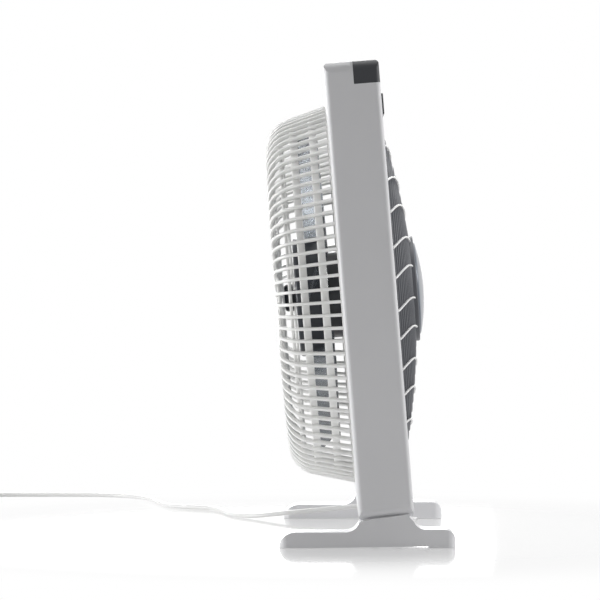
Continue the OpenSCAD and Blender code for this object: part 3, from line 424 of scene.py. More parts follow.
def swept(name, paths, section, slot, place, copies=1, closed=False):
    """Bars along paths, copied round the Z axis; the section is (width, depth, rounding)."""
    vertices = []
    edges = []
    for path in paths:
        start = len(vertices)
        vertices += [mm(*p) for p in path]
        edges += [(start + i, start + i + 1) for i in range(len(path) - 1)]
        if closed:
            edges.append((len(vertices) - 1, start))
    lines = bpy.data.meshes.new(name)
    lines.from_pydata(vertices, edges, [])
    made = put(name, lines)
    modifier = made.modifiers.new("sweep", "NODES")
    modifier.node_group = bpy.data.node_groups.get("Swept bars") or sweep_tree()
    values = dict(zip(("Width", "Depth", "Rounding"), mm(*section)), Copies=copies, Material=finish_of(slot))
    for item in modifier.node_group.interface.items_tree:
        if item.name in values:
            modifier[item.identifier] = values[item.name]
    settle(made)
    bpy.data.meshes.remove(lines)
    tidy_mesh(made.data, 1e-7)
    made.data.transform(place)
    return made


def refined(name, node, slot, body, bevel=0):
    """A CAD node's own shape with its doubles merged, its arcs shaded smooth and its edges eased."""
    mesh = frame["nodes"][node].data.copy()
    with editing(mesh) as work:
        bmesh.ops.remove_doubles(work, verts=work.verts, dist=2e-6)
        bmesh.ops.dissolve_limit(work, angle_limit=radians(0.5), verts=work.verts, edges=work.edges)
    made = put(name, mesh)
    if bevel:
        eased = made.modifiers.new("eased edges", "BEVEL")
        eased.width = mm(bevel)
        eased.segments = 3
        eased.limit_method = "ANGLE"
        eased.angle_limit = radians(40)
        eased.miter_outer = "MITER_ARC"
        settle(made)
    dress(made, slot, body, [node], CRISP)
    keep_flat(made)
    return made


def keep_flat(made):
    """Shades a piece smooth, with its flat faces left flat beside the arcs that turn into them."""
    mesh = made.data
    if "custom_normal" in mesh.attributes:
        mesh.attributes.remove(mesh.attributes["custom_normal"])
    smooth(made, CRISP)
    flat = made.modifiers.new("flat faces", "WEIGHTED_NORMAL")
    flat.keep_sharp = True
    settle(made)


# Places on the fan


def dome(r):
    """Height of the disc's dome at a radius."""
    return DOME_PEAK - r * r / (2 * DOME_R)


def shoulder_middle():
    """The centre of the basket's rounded shoulder, as (radius, depth)."""
    depth = GUARD_BACK - SHOULDER_R
    slant = atan(WALL_SLOPE)
    return GUARD_R - WALL_SLOPE * (depth - BODY_T / 2) - SHOULDER_R / cos(slant), depth


# The cord's route, in millimetres, as the solids have it
CORD_D = 5.2
FLOOR = 2.8
TURN_PITCH = 6.6
COIL_MIDDLE = (516, 490)
COIL_R = 38
IN_TURNS = 2
OUT_TURNS = 1.5
BOOT_L = 22
BOOT_DIP = radians(12)
GLAND = (158, 6, 8)
ROUTE = [(158, 2, 16), (158, 22, 14), (159, 46, 11.6), (161, 70, 9.4), (167, 92, 6.6), (178, 112, 4)]
ROUTE += [(x, y, FLOOR) for x, y in (
    (194, 129), (216, 141), (244, 149), (274, 155), (300, 163), (318, 173), (331, 192), (346, 212),
    (374, 226), (414, 237), (458, 247), (499, 261), (532, 284), (549, 318), (554, 360), (554, 404),
    (554, 448), (554, 484))]
TAIL = [(550.7, y, z) for y, z in ((502, 9.2), (514, 8.8), (527, 8.2), (540, 7.6), (552, 7.2))]


def boot_line():
    """Where the strain relief's boot starts, and the way it points."""
    x, forward, drop = GLAND
    start = WALL @ Vector(mm(x, -BODY_H / 2 - drop, forward))
    return start, Vector((0, cos(BOOT_DIP), -sin(BOOT_DIP)))


def smooth_path(points, steps=4):
    """A smooth path through its points."""
    last = len(points) - 1
    path = []
    for i in range(last):
        a, b, c, d = (points[k] for k in (max(i - 1, 0), i, i + 1, min(i + 2, last)))
        for k in range(steps):
            t = k / steps
            path.append(0.5 * (2 * b + (c - a) * t + (2 * a - 5 * b + 4 * c - d) * t * t
                               + (3 * b - a - 3 * c + d) * t ** 3))
    return path + [points[last]]


def coil_path(steps=48):
    """The coil: in along the floor, up over half a turn, and out again on the layer above."""
    points = []
    for i in range(int((IN_TURNS + 0.5 + OUT_TURNS) * steps) + 1):
        t = i / steps
        past = max(0.0, t - IN_TURNS - 0.5)
        r = COIL_R - TURN_PITCH * (min(t, IN_TURNS) - past)
        rise = (1 - cos(2 * pi * min(max(t - IN_TURNS, 0), 0.5))) / 2
        x, y = COIL_MIDDLE[0] + r * cos(2 * pi * t), COIL_MIDDLE[1] + r * sin(2 * pi * t)
        points.append(Vector((x, y, FLOOR + TURN_PITCH * rise)) / 1000)
    return points


def cord_path():
    """The whole cord, in metres, from the boot's tip over the floor, through the coil, to the plug."""
    start, way = boot_line()
    tip = start + mm(BOOT_L) * way
    coil = coil_path()
    run = smooth_path([tip, tip + mm(5) * way] + [Vector(p) / 1000 for p in ROUTE] + [coil[0]])
    tail = smooth_path([coil[-1]] + [Vector(p) / 1000 for p in TAIL])
    return run[:-1] + coil[:-1] + tail


# What a user would change


def colour(name, description, default):
    """A colour, as sRGB hex."""
    return bpy.props.StringProperty(name=name, description=description, default=default)


def length(name, description, default):
    """A length, in metres."""
    return bpy.props.FloatProperty(name=name, description=description, default=default, subtype="DISTANCE",
                                   unit="LENGTH")


def power(name, description, default):
    """A lamp's power, in watts."""
    return bpy.props.FloatProperty(name=name, description=description, default=default, min=0, unit="POWER")


class FanColours(bpy.types.PropertyGroup):
    shell: colour("Shell", "White of the housing and feet", "#e3e3e5")
    # The basket's default white is whiter than the shell's: painted light for the light from behind on its ribs
    basket: colour("Basket", "White of the rear guard", "#f4f4f2")
    bars: colour("Bars", "White of the wavy bars", "#f4f4f3")
    handle: colour("Handle", "Charcoal of the bar and keys", "#1f2126")
    disc: colour("Disc", "Grey of the turning disc", "#626469")
    cap: colour("Cap", "Slate of the middle cap", "#5f6670")
    blade: colour("Blade", "Smoke tint of the blades", "#93989d")
    hub: colour("Hub", "Dark smoke of the hub's cup", "#34383f")


class BasketSizes(bpy.types.PropertyGroup):
    ribs: bpy.props.IntProperty(name="Ribs", description="Ribs round the basket", default=93, min=60, step=3)
    width: length("Rib width", "Width of a rib", mm(3.2))
    depth: length("Rib depth", "Depth of a rib", mm(4.5))
    hoop: length("Hoop width", "Width of the side hoops", mm(8))


class DiscSizes(bpy.types.PropertyGroup):
    pitch: length("Ring pitch", "From one ring to the next", mm(10))
    ring: length("Ring width", "Width of a ring", mm(2.4))
    bars: bpy.props.IntProperty(name="Bars", description="White bars on the disc", default=10, min=2)
    bar_pitch: length("Bar pitch", "From one bar to the next", mm(32.4))
    wave: length("Wave", "How far a bar waves up and down", mm(10.5))
    stagger: length("Stagger", "How far the bars stand out of even spacing", mm(1.1))
    bar: length("Bar width", "Width of a white bar", mm(1.8))
    turn: bpy.props.FloatProperty(name="Turn", description="How far the disc has turned at rest",
                                  default=radians(1.6), subtype="ANGLE", unit="ROTATION")


class BladeSizes(bpy.types.PropertyGroup):
    count: bpy.props.IntProperty(name="Blades", description="Blades on the hub", default=5, min=3, max=7)
    thickness: length("Thickness", "Thickness of a blade's middle", mm(2.4))


class StageSettings(bpy.types.PropertyGroup):
    distance: length("Distance", "From the camera to the fan's middle plane", 3.525)
    height: length("Height", "Height of the camera", 0.2761)
    along: length("Along", "How far behind the middle the camera stands", 0.0347)
    lens: bpy.props.FloatProperty(name="Lens", description="Focal length in millimetres", default=193.25)
    ambient: bpy.props.FloatProperty(name="Ambient", description="Strength of the soft light all round",
                                     default=0.14, min=0)
    front_lamp: power("Front lamp", "Power of the lamp before the fan", 28.0)
    back_lamp: power("Back lamp", "Power of the lamp behind the fan", 32.0)
    far_lamp: power("Far lamp", "Power of the lamp on the far side", 38.0)
    top_lamp: power("Top lamp", "Power of the lamp above", 10.0)


# The stage, in metres

# The photo is cropped off centre: its vanishing point lies right of and above the frame's middle, in pixels
PHOTO_WIDTH = 600
VANISHING_POINT = (25, 21)
# Half the side of the floor's square
FLOOR_REACH = 20
# White that the floor shows by itself where it's seen, over the light that falls on it
FLOOR_LIFT = 0.73
# Light that the acrylic gives from below, as on a table that is lit through its top
FLOOR_GLOW = 0.14
# The mirror's share near the fan, and how far from the middle it fades out and the floor turns clean white
MIRROR_SHARE = 0.9
MIRROR_FADE = (0.26, 0.58)
CLEAN_FADE = (0.28, 0.65)
# Each lamp's place, the point that it looks at and its size
LAMPS = {
    "front_lamp": ((-0.25, -2.1, 1.2), (-0.25, 0, 0.25), 0.9),
    "back_lamp": ((-0.3, 2.2, 0.5), (-0.25, 0, 0.25), 0.9),
    "far_lamp": ((2.3, 0.3, 0.8), (0, 0, 0.25), 1.2),
    "top_lamp": ((0.4, -0.2, 2.2), (0, 0, 0.25), 0.9),
}


def seen_directly(tree):
    """1 for camera, glossy and transmission rays, and 0 for the light that falls on the object."""
    path = add(tree, "ShaderNodeLightPath").outputs
    both = add(tree, "ShaderNodeMath", {0: path["Is Camera Ray"], 1: path["Is Glossy Ray"]},
               operation="MAXIMUM")
    return add(tree, "ShaderNodeMath", {0: both, 1: path["Is Transmission Ray"]}, operation="MAXIMUM")


def white_world(ambient):
    """A world that looks white and lights the object softly."""
    world = bpy.data.worlds.new("studio_white")
    world.use_nodes = True
    tree = world.node_tree
    tree.nodes.clear()
    soft = add(tree, "ShaderNodeBackground", {"Color": WHITE, "Strength": ambient})
    white = add(tree, "ShaderNodeBackground", {"Color": WHITE, "Strength": 1.0})
    mixed = add(tree, "ShaderNodeMixShader", {0: seen_directly(tree), 1: soft, 2: white})
    add(tree, "ShaderNodeOutputWorld", {"Surface": mixed})
    bpy.context.scene.world = world


def fading(tree, distance, reach, near, far):
    """A value that eases from near to far between two distances."""
    return add(tree, "ShaderNodeMapRange", {"Value": distance, "From Min": reach[0], "From Max": reach[1],
                                            "To Min": near, "To Max": far}, interpolation_type="SMOOTHSTEP")


def white_acrylic():
    """White acrylic sheet: it looks white, keeps the fan's shadow and mirrors the fan's foot."""
    material = surface("white_acrylic_floor", "#7a7a7a", (0, 60), (0.575, 0.025, 400), None,
                       {"Specular IOR Level": 0.0})
    tree, shader, place = insides(material)
    away = add(tree, "ShaderNodeVectorMath", {0: place}, operation="LENGTH").outputs["Value"]
    white = add(tree, "ShaderNodeEmission", {"Color": WHITE, "Strength": FLOOR_LIFT})
    lit = add(tree, "ShaderNodeAddShader", {0: shader, 1: white})
    mirror = add(tree, "ShaderNodeBsdfGlossy", {"Color": WHITE, "Roughness": 0.06})
    gloss = add(tree, "ShaderNodeFresnel", {"IOR": 1.49})
    close = fading(tree, away, MIRROR_FADE, MIRROR_SHARE, 0.0)
    faint = add(tree, "ShaderNodeMath", {0: gloss, 1: close}, operation="MULTIPLY")
    both = add(tree, "ShaderNodeMixShader", {0: faint, 1: lit, 2: mirror})
    clean = add(tree, "ShaderNodeEmission", {"Color": WHITE, "Strength": 1.0})
    far = fading(tree, away, CLEAN_FADE, 0.0, 1.0)
    faded = add(tree, "ShaderNodeMixShader", {0: far, 1: both, 2: clean})
    # The light that falls on the fan comes off the floor as off any white sheet
    bounce = add(tree, "ShaderNodeBsdfDiffuse", {"Color": linear("#e6e6e6")})
    glow = add(tree, "ShaderNodeEmission", {"Color": WHITE, "Strength": FLOOR_GLOW})
    sheet = add(tree, "ShaderNodeAddShader", {0: bounce, 1: glow})
    whole = add(tree, "ShaderNodeMixShader", {0: seen_directly(tree), 1: sheet, 2: faded})
    feed(tree, tree.nodes["Material Output"], {"Surface": whole})
    return material


def lamp(name, watts):
    """A square soft lamp that looks at a point."""
    place, target, size = LAMPS[name]
    data = bpy.data.lights.new(name, "AREA")
    data.shape = "SQUARE"
    data.size = size
    data.energy = watts
    made = put(name, data)
    made.location = place
    made.rotation_euler = (Vector(target) - Vector(place)).to_track_quat("-Z", "Y").to_euler()


class FAN_OT_stage(bpy.types.Operator):
    """Makes the camera, the white floor, the world and the lamps"""

    bl_idname = "fan.stage"
    bl_label = "Stage"

    def execute(self, context):
        scene = context.scene
        stage = scene.fan_stage
        scene.view_settings.view_transform = "Standard"
        data = bpy.data.cameras.new("side_camera")
        data.lens = stage.lens
        data.sensor_width = 36
        data.shift_x, data.shift_y = (-v / PHOTO_WIDTH for v in VANISHING_POINT)
        data.clip_end = 100
        camera = put("side_camera", data)
        camera.location = (-stage.distance, stage.along, stage.height)
        camera.rotation_euler = (pi / 2, 0, -pi / 2)
        scene.camera = camera
        white_world(stage.ambient)
        half = FLOOR_REACH * 1000
        corners = [(-half, -half, 0), (half, -half, 0), (half, half, 0), (-half, half, 0)]
        floor = mesh_object("floor", corners, [(0, 1, 2, 3)])
        floor.data.materials.append(white_acrylic())
        for name in LAMPS:
            lamp(name, getattr(stage, name))
        return {"FINISHED"}


# Cord, strain relief and plug

# Radius of the ball at the root of the boot
BALL_R = 6.1
# Along the plug's head: distance from the neck, half width, half thickness
PLUG_HEAD = ((14.0, 8.2, 5.0), (15.2, 9.4, 6.2), (19, 12.4, 6.7), (24, 15.4, 6.8), (29, 17.3, 6.6),
             (33, 17.4, 6.2), (37, 17.0, 5.9), (41, 16.3, 6.3), (45, 14.8, 6.6), (47.2, 13.9, 6.3),
             (48, 12.8, 5.4))


class FAN_OT_cord(bpy.types.Operator):
    """Lays the power cord from its strain relief to its plug"""

    bl_idname = "fan.cord"
    bl_label = "Power cord"

    def execute(self, context):
        path = cord_path()
        data = bpy.data.curves.new("power_cord", "CURVE")
        data.dimensions = "3D"
        data.bevel_depth = mm(CORD_D / 2)
        data.bevel_resolution = 4
        data.use_fill_caps = True
        line = data.splines.new("POLY")
        line.points.add(len(path) - 1)
        for point, spot in zip(line.points, path):
            point.co = (*spot, 1)
        line.use_smooth = True
        cord = dress(put("power_cord", data), "cord_sheath", "body", ["cord_run", "cord_coil", "cord_tail"])
        self.boot()
        self.plug()
        return {"FINISHED"}

    def boot(self):
        """The strain relief: a collar through the floor of the housing and a ribbed boot."""
        start, way = boot_line()
        along = way.to_track_quat("Z", "Y").to_matrix().to_4x4()
        profile = [(0, 0)]
        for k in range(5):
            z = 1.5 + 4 * k
            wide = 6.0 - 0.42 * k
            profile += [(wide, z), (wide, z + 2.4), (wide - 0.9, z + 2.8), (wide - 0.9, z + 3.6)]
        profile += [(3.7, 21.6), (3.2, BOOT_L), (0, BOOT_L)]
        sleeve = revolved("sleeve", profile, Matrix.Translation(start) @ along, 40)
        arc = [(BALL_R * sin(pi * k / 16), -BALL_R * cos(pi * k / 16)) for k in range(1, 16)]
        ball = revolved("ball", [(0, -BALL_R), *arc, (0, BALL_R)], Matrix.Translation(start), 40)
        x, forward, _ = GLAND
        upright = WALL @ Matrix.Translation(mm(x, -BODY_H / 2, forward)) @ Matrix.Rotation(-pi / 2, 4, "X")
        profile = [(0, -8), (5.6, -8), (5.6, -0.5), (7.4, -0.4), (7.4, 0), (5.6, 0), (5.6, 2.5), (8, 2.5),
                   (8, 4.5), (0, 4.5)]
        collar = revolved("collar", profile, upright, 40)
        return dress(joined("strain_relief_boot", [sleeve, ball, collar]), "cord_sheath", "body",
                     ["strain_relief"], 40)

    def plug(self):
        """The plug's body: a tapered neck with grip rings, and a flat head with finger hollows."""
        place = Matrix.Translation(mm(*TAIL[-1])) @ Matrix.Rotation(-pi / 2, 4, "X")
        profile = [(0, 0)]
        for k in range(4):
            z = 0.6 + 3.2 * k
            wide = 3.9 + 0.45 * k
            profile += [(wide, z), (wide, z + 1.8), (wide - 0.7, z + 2.1), (wide - 0.7, z + 2.9)]
        neck = revolved("neck", profile + [(5.2, 13.6), (5.2, 15), (0, 15)], place, 40)
        rings = [[(x, y, z) for x, y in rounded([(-w, -t), (w, -t), (w, t), (-w, t)], t * 0.75, 5)]
                 for z, w, t in PLUG_HEAD]
        vertices, faces = loft(rings)
        count = len(rings[0])
        faces += [list(range(count)), list(range(len(vertices) - count, len(vertices)))]
        head = mesh_object("head", vertices, faces, place)
        return dress(joined("mains_plug", [neck, head]), "cord_sheath", "body", ["plug"], 45)


# Basket guard

# Where the basket's foot ring starts, steps in and ends
FOOT_FRONT = -19.5
FOOT_STEP = -22.2
FOOT_BACK = -29.4
# Depths of the side hoops, radii of the back hoops, and the shoulder hoop's angle from the side
SIDE_HOOPS = (45.3, 66)
BACK_HOOPS = (145.5, 106.5, 73.5)
SHOULDER_HOOP = radians(38)


def rib_path(inner, half_depth):
    """The middle line of one rib, in the radial plane, from the housing to a radius on the back."""
    radius, depth = shoulder_middle()
    slant = atan(WALL_SLOPE)
    reach = SHOULDER_R - half_depth
    path = [(GUARD_R - half_depth, 0, FOOT_STEP - 0.2), (GUARD_R - half_depth - 0.05, 0, -BODY_T / 2)]
    for k in range(13):
        a = slant + (pi / 2 - slant) * k / 12
        path.append((radius + reach * cos(a), 0, -depth - reach * sin(a)))
    outer, _, back = path[-1]
    return path + [((inner + outer) / 2, 0, back), (inner, 0, back)]


class FAN_OT_basket(bpy.types.Operator):
    """Makes the basket guard from its repeated ribs, its hoops and its middle plate"""

    bl_idname = "fan.basket"
    bl_label = "Basket guard"

    def execute(self, context):
        sizes = context.scene.fan_basket
        width, thick, hoop = to_mm(sizes.width, sizes.depth, sizes.hoop)
        parts = []
        # Each third rib runs to the middle plate, and the others end at the second hoop
        for k, inner in enumerate((PLATE_R - 1, SHORT_RIB_R, SHORT_RIB_R)):
            place = AXIS @ Matrix.Rotation(2 * pi / sizes.ribs * k, 4, "Z")
            parts.append(swept("ribs", [rib_path(inner, thick / 2)], (width, thick, 0.9), "white_body", place,
                               sizes.ribs // 3))
        # The hoops stand inside the ribs: each has its radius, its depth and its section
        hoops = [(GUARD_R - WALL_SLOPE * (back - BODY_T / 2) - thick - 0.7, back, (3.4, hoop, 1.0))
                 for back in SIDE_HOOPS]
        radius, depth = shoulder_middle()
        reach = SHOULDER_R - thick - 1
        hoops.append((radius + reach * cos(SHOULDER_HOOP), depth + reach * sin(SHOULDER_HOOP),
                      (3.2, 3.6, 1.0)))
        hoops += [(r, GUARD_BACK - thick, (5, 3, 0.8)) for r in BACK_HOOPS]
        for r, back, section in hoops:
            parts.append(swept("hoop", [ring_path(r, -back)], section, "white_body", AXIS, closed=True))
        parts += [self.plate(), self.foot_ring()]
        dress(joined("basket_guard", parts), "white_body", "body", ["rear_guard"], 35, "basket")
        return {"FINISHED"}

    def plate(self):
        """The middle plate, with a shallow ring pressed into its back."""
        inside, sunk, face = (-GUARD_BACK + rise for rise in (5, 0.7, -0.5))
        corners = [(0, inside, 0), (0, face, 0), (14, face), (17, sunk), (34, sunk), (37, face),
                   (PLATE_R, face, 1.5), (PLATE_R, inside, 1)]
        return revolved("middle_plate", rounded(corners, 0.8), AXIS)

    def foot_ring(self):
        """The ring that holds the ribs' feet in the housing."""
        inner, seat, flange = (GUARD_R + step for step in (-5.5, -0.8, 7))
        corners = [(inner, FOOT_FRONT), (flange, FOOT_FRONT), (flange, FOOT_STEP), (seat, FOOT_STEP, 0),
                   (seat, FOOT_BACK), (inner, FOOT_BACK)]
        return revolved("foot_ring", rounded(corners, 0.5, 3), AXIS)


# Blades, hub and nut

# The hub's cup: its wall, its front rim, and the boss on the shaft with its bore
CUP_WALL = 2.5
CUP_FRONT = 46
BOSS_R = 12
BOSS_FRONT = 50
BORE_R = 4.02
# The last stretch of a blade, over which its corners round off
TIP_ROUNDING = 14
# Along the nut: depth and radius, with the flutes between the two depths
NUT_PROFILE = ((76.52, 9.0), (79.6, 9.0), (80.0, 14.6), (80.6, 15.0), (86.4, 15.0), (88.2, 14.3),
               (89.2, 12.8), (89.5, 10.8))
FLUTED = (79.8, 89.3)
FLUTES = 8


def blade_section(r, thickness):
    """One closed section of a blade at a radius, in the frame that looks back: x, y and depth."""
    out = r - CUP_R
    lead = 30 + 0.32 * out - 0.0012 * out * out
    trail = -26 - 0.10 * out - 0.0016 * out * out
    share = max(0.0, out) / (BLADE_R - CUP_R)
    near, far = 38.5 + 2.0 * share, 64.0 - 2.5 * share
    steps = 12
    front, back = [], []
    for i in range(steps + 1):
        s = i / steps
        y = lead + (trail - lead) * s
        camber = 0.055 * (lead - trail) * sin(pi * s)
        b = near + (far - near) * s - camber
        half = thickness * (0.28 + 0.5 * sin(pi * s) ** 0.6) * (1 - 0.35 * share) / 2
        front.append((r, y, b - half))
        back.append((r, y, b + half))
    return front + back[::-1]


def blade_mesh(thickness, place):
    """One blade: sections from inside the hub to the tip, bent on to their radius, with rounded corners."""
    inner, steps = CUP_R - 1.5, 16
    rings = []
    for i in range(steps + 1):
        r = inner + (BLADE_R - inner) * sin(pi / 2 * i / steps)
        ring = blade_section(r, thickness)
        middle = sum(p[1] for p in ring) / len(ring)
        left = min(1.0, (BLADE_R - r) / TIP_ROUNDING)
        narrow = sqrt(max(0.0, 1 - (1 - left) ** 2)) * 0.16 + 0.84
        bent = []
        for x, y, b in ring:
            y = middle + (y - middle) * narrow
            bent.append((sqrt(max(0.0, r * r - y * y)) if r > CUP_R else x, y, b))
        rings.append(bent)
    vertices, faces = loft(rings)
    count = len(rings[0])
    for base in (0, steps * count):
        faces += [[base + k, base + k + 1, base + count - 2 - k, base + count - 1 - k]
                  for k in range(count // 2 - 1)]
    return mesh_object("blade", vertices, faces, place)


class FAN_OT_blades(bpy.types.Operator):
    """Makes the smoked blades on their cup hub, and the nut behind them"""

    bl_idname = "fan.blades"
    bl_label = "Blades"

    def execute(self, context):
        sizes = context.scene.fan_blades
        upright = BEHIND @ Matrix.Rotation(pi / 2, 4, "Z")
        parts = []
        for k in range(sizes.count):
            turned = upright @ Matrix.Rotation(2 * pi * k / sizes.count, 4, "Z")
            parts.append(blade_mesh(sizes.thickness * 1000, turned))
        inside = CUP_BACK - CUP_WALL
        floor = CUP_BACK - 0.2
        inner = CUP_R - CUP_WALL
        corners = [(0, CUP_BACK, 0), (CUP_R, CUP_BACK, 3.5), (CUP_R, CUP_FRONT), (inner, CUP_FRONT),
                   (inner, inside, 2), (BOSS_R, inside), (BOSS_R, BOSS_FRONT), (BORE_R, BOSS_FRONT),
                   (BORE_R, floor, 0), (0, floor, 0)]
        parts.append(revolved("cup", rounded(corners, 0.6, 5), BEHIND))
        web = [(BOSS_R - 0.5, 0, CUP_BACK - 8), (CUP_R - 2, 0, CUP_BACK - 8)]
        parts.append(swept("webs", [web], (2, 12, 0.5), "smoke_blade", upright, sizes.count))
        made = dress(joined("smoked_blades", parts), "smoke_blade", "rotor_group", ["fan_blade"], 40)
        made.data.materials.append(finish_of("hub"))
        from_axis = AXIS.inverted()
        for face in made.data.polygons:
            spot = from_axis @ face.center
            face.material_index = 1 if hypot(spot.x, spot.y) < mm(CUP_R + 0.2) else 0
        self.nut()
        return {"FINISHED"}

    def nut(self):
        """The hand nut: a fluted knob with a domed end."""
        steps = 96
        rings = []
        for z, r in NUT_PROFILE:
            ring = []
            for k in range(steps):
                a = 2 * pi * k / steps
                flute = max(0.0, cos(FLUTES * a)) ** 3 if FLUTED[0] < z < FLUTED[1] else 0
                ring.append(((r - flute) * cos(a), (r - flute) * sin(a), z))
            rings.append(ring)
        vertices, faces = loft(rings)
        end = len(vertices)
        vertices += [(0, 0, NUT_PROFILE[0][0]), (0, 0, NUT_PROFILE[-1][0])]
        for middle, start in ((end, 0), (end + 1, end - steps)):
            faces += [[middle, start + k, start + (k + 1) % steps] for k in range(steps)]
        made = mesh_object("hand_nut", vertices, faces, BEHIND)
        dress(made, "smoke_blade", "rotor_group", ["blade_nut"], 40, "hub")


# Turning disc

# Depth of the rings, and how many spokes carry them
RING_DEEP = 6
SPOKES = 12
# Inset of the cap's edge and thickness of its shell
CAP_INSET = 1.8
CAP_WALL = 2.5


def turned_axis(context):
    """The fan's axis frame, turned by the disc's rest angle."""
    return AXIS @ Matrix.Rotation(context.scene.fan_disc.turn, 4, "Z")


class FAN_OT_disc(bpy.types.Operator):
    """Makes the turning disc's rings under their dome, the spokes behind them and the hub ring"""

    bl_idname = "fan.disc"
    bl_label = "Turning disc"

    def execute(self, context):
        sizes = context.scene.fan_disc
        pitch, width = to_mm(sizes.pitch, sizes.ring)
        place = turned_axis(context)
        rings = []
        r = GRILLE_R - pitch
        while r >= HUB_PLATE_R + 2:
            rings.append(ring_path(r - width / 2, dome(r) - RING_DEEP / 2, 180))
            r -= pitch
        parts = [swept("rings", rings, (width, RING_DEEP, 0.9), "grey_disc", place, closed=True)]
        rim = dome(GRILLE_R)
        inner = GRILLE_R - 4
        corners = [(inner, rim - 7), (GRILLE_R, rim - 7), (GRILLE_R, rim, 1.2), (inner, rim, 0.8)]
        parts.append(revolved("rim", rounded(corners, 0.5), place, 200))
        spoke = []
        for k in range(9):
            r = HUB_PLATE_R - 2 + (GRILLE_R - 1.5 - HUB_PLATE_R) * k / 8
            spoke.append((r, 0, dome(r) - RING_DEEP - 0.5))
        parts.append(swept("spokes", [spoke], (3, 4, 0.8), "grey_disc",
                           place @ Matrix.Rotation(radians(15), 4, "Z"), SPOKES))
        # From the cap's seat over the raised ring and the plate to the boss on the shaft
        inner = HUB_RING_R - 3.5
        corners = [(0, CAP_SEAT, 0), (inner, CAP_SEAT, 1), (inner, 54.6), (HUB_RING_R, 54.6, 1.2),
                   (HUB_RING_R, 49, 1), (HUB_PLATE_R, 48), (HUB_PLATE_R, 44), (9, 44, 2), (9, 39.3),
                   (3.6, 39.3), (3.6, 47, 0), (0, 47, 0)]
        parts.append(revolved("hub", rounded(corners, 0.8), place))
        dress(joined("ringed_disc", parts), "grey_disc", "disc_group", ["grille_disc"], 38)
        return {"FINISHED"}


class FAN_OT_bars(bpy.types.Operator):
    """Makes the white wavy bars that cross the disc, and the white ring round its rim"""

    bl_idname = "fan.bars"
    bl_label = "Wavy bars"

    def execute(self, context):
        sizes = context.scene.fan_disc
        pitch, stagger, wave, width = to_mm(sizes.bar_pitch, sizes.stagger, sizes.wave, sizes.bar)
        place = turned_axis(context)
        end, hub = GRILLE_R - 2.2, HUB_RING_R + 1.2
        paths = []
        for i in range(sizes.bars):
            level = (i - (sizes.bars - 1) / 2) * pitch + stagger * (1 if i % 2 else -1)
            line = []
            for k in range(-120, 121):
                x = GRILLE_R * k / 120
                y = level + (-1 if x > 0 else 1) * wave * sin(pi * abs(x) / GRILLE_R)
                r = hypot(x, y)
                if hub < r < end:
                    line.append((x, y, dome(r) + 0.35))
                elif line:
                    paths.append(line)
                    line = []
        paths = [path for path in paths if len(path) > 3]
        parts = [swept("bars", paths, (width, 2.5, 0.7), "white_bars", place)]
        rim = dome(GRILLE_R)
        corners = [(GRILLE_R - 3.5, rim), (GRILLE_R, rim), (GRILLE_R, rim + 1), (GRILLE_R - 3.5, rim + 1)]
        parts.append(revolved("rim_ring", rounded(corners, 0.45), place, 200))
        dress(joined("wavy_bars", parts), "white_bars", "disc_group", ["grille_bars"], 40)
        return {"FINISHED"}


class FAN_OT_cap(bpy.types.Operator):
    """Makes the slate cap in the middle of the disc"""

    bl_idname = "fan.cap"
    bl_label = "Middle cap"

    def execute(self, context):
        ball = (CAP_R ** 2 + CAP_RISE ** 2) / (2 * CAP_RISE)
        middle = CAP_EDGE + CAP_RISE - ball
        span = asin((CAP_R - CAP_INSET) / ball)

        def on_ball(share, sunk=0):
            return ball * sin(span * share), middle + ball * cos(span * share) - sunk

        outer = [(CAP_R, CAP_SEAT)]
        outer += [(CAP_R - inset, CAP_EDGE - low) for inset, low in ((0, 1.6), (0.3, 0.7), (1.0, 0.1))]
        outer += [on_ball(1 - k / 16) for k in range(17)]
        inner = [on_ball(k / 8, CAP_WALL) for k in range(8)]
        inner += [(CAP_R - CAP_WALL, CAP_EDGE - 3), (CAP_R - CAP_WALL, CAP_SEAT)]
        cap = revolved("slate_cap", outer[::-1] + inner[::-1], turned_axis(context), 180)
        dress(cap, "slate_cap", "disc_group", ["hub_cap"], 40)
        return {"FINISHED"}


# Shells, feet and keys keep the solids' own shapes


class FAN_OT_shells(bpy.types.Operator):
    """Finishes the housing, the rear cover, the carrying bar and the spider"""

    bl_idname = "fan.shells"
    bl_label = "Shells"

    def execute(self, context):
        refined("front_housing", "housing", "white_body", "body")
        refined("back_cover", "rear_cover", "white_body", "body")
        refined("carrying_bar", "handle_bar", "dark_bar", "body")
        refined("fixed_spider", "motor_spider", "white_body", "body", 0.6)
        return {"FINISHED"}


class FAN_OT_feet(bpy.types.Operator):
    """Finishes the two feet with softly rounded edges"""

    bl_idname = "fan.feet"
    bl_label = "Feet"

    def execute(self, context):
        for name, node, side in (("near_foot", "left_foot", -1), ("far_foot", "right_foot", 1)):
            self.close_groove(refined(name, node, "white_body", "body", 1.4), side)
        return {"FINISHED"}

    def close_groove(self, foot, side):
        """Raises the saddle's outer edge into the groove under the housing's rounded bottom edge."""
        radius = mm(EDGE_R)
        to_wall = WALL.inverted()
        with editing(foot.data) as work:
            for inset in (1.2, 2.4, 3.6, EDGE_R):
                whole = work.verts[:] + work.edges[:] + work.faces[:]
                spot = (side * mm(BODY_W / 2 - inset), 0, 0)
                bmesh.ops.bisect_plane(work, geom=whole, dist=1e-6, plane_co=spot, plane_no=RIGHT)
            for vertex in work.verts:
                x, y, z = to_wall @ vertex.co
                inside = radius - max(0.0, mm(BODY_W / 2) - abs(x))
                if inside > 0 and y > mm(-BODY_H / 2 - 0.4) and abs(z) < mm(BODY_T / 2 - EDGE_R):
                    vertex.co += UP * (radius - sqrt(radius ** 2 - inside ** 2)) * 0.97
        keep_flat(foot)


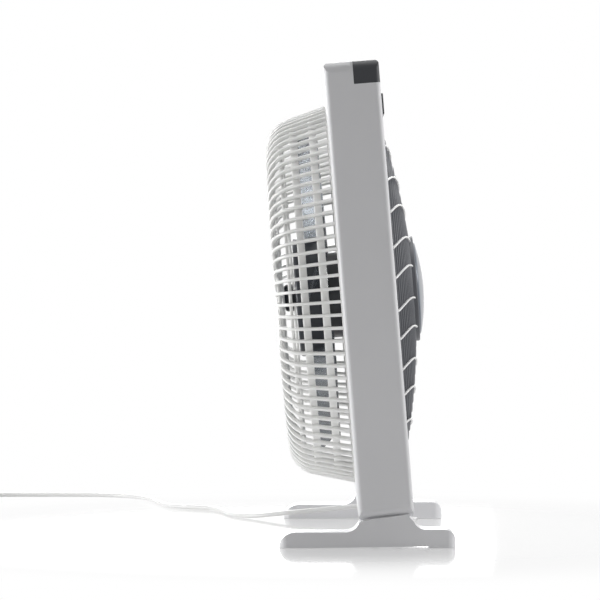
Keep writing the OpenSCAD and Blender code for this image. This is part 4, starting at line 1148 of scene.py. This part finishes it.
class FAN_OT_keys(bpy.types.Operator):
    """Finishes the five piano keys"""

    bl_idname = "fan.keys"
    bl_label = "Keys"

    def execute(self, context):
        for name in ("off", "low", "medium", "high", "turn"):
            refined(name + "_piano_key", name + "_key", "dark_keys", name + "_key_group")
        return {"FINISHED"}


class FAN_OT_motors(bpy.types.Operator):
    """Finishes the motor shells and the small motor's can"""

    bl_idname = "fan.motors"
    bl_label = "Motors"

    def execute(self, context):
        refined("front_motor_shell", "motor_front_shell", "motor_shell", "body", 0.8)
        refined("rear_motor_shell", "motor_rear_shell", "dark_shell", "body", 0.8)
        refined("small_motor_can", "grille_motor", "steel", "body", 0.5)
        return {"FINISHED"}


class FAN_OT_finishes(bpy.types.Operator):
    """Gives every CAD node that still shows the material of its slot"""

    bl_idname = "fan.finishes"
    bl_label = "Finishes"

    def execute(self, context):
        for row in frame["record"]["subparts"]:
            node = frame["nodes"][row["node"]]
            material = finish_of(row["material_slot"])
            if not node.material_slots:
                node.data.materials.append(material)
            for slot in node.material_slots:
                slot.material = material
        return {"FINISHED"}


STEPS = (FAN_OT_stage, FAN_OT_cord, FAN_OT_basket, FAN_OT_blades, FAN_OT_disc, FAN_OT_bars, FAN_OT_cap,
         FAN_OT_shells, FAN_OT_feet, FAN_OT_keys, FAN_OT_motors, FAN_OT_finishes)
GROUPS = {
    "fan_colours": FanColours,
    "fan_basket": BasketSizes,
    "fan_disc": DiscSizes,
    "fan_blades": BladeSizes,
    "fan_stage": StageSettings,
}


class FAN_PT_panel(bpy.types.Panel):
    """Lists the fan's steps and sizes"""

    bl_idname = "FAN_PT_panel"
    bl_label = "Box Fan"
    bl_space_type = "VIEW_3D"
    bl_region_type = "UI"
    bl_category = "Box Fan"

    def draw(self, context):
        for step in STEPS:
            self.layout.operator(step.bl_idname)
        for name in GROUPS:
            group = getattr(context.scene, name)
            for key in group.__annotations__:
                self.layout.prop(group, key)


def register():
    for name, group in GROUPS.items():
        bpy.utils.register_class(group)
        setattr(bpy.types.Scene, name, bpy.props.PointerProperty(type=group))
    for step in STEPS:
        bpy.utils.register_class(step)
    bpy.utils.register_class(FAN_PT_panel)


def unregister():
    bpy.utils.unregister_class(FAN_PT_panel)
    for step in reversed(STEPS):
        bpy.utils.unregister_class(step)
    for name, group in GROUPS.items():
        delattr(bpy.types.Scene, name)
        bpy.utils.unregister_class(group)


def main():
    """Makes the whole scene."""
    register()
    for step in STEPS:
        family, action = step.bl_idname.split(".")
        getattr(getattr(bpy.ops, family), action)()


if __name__ == "__main__":
    main()
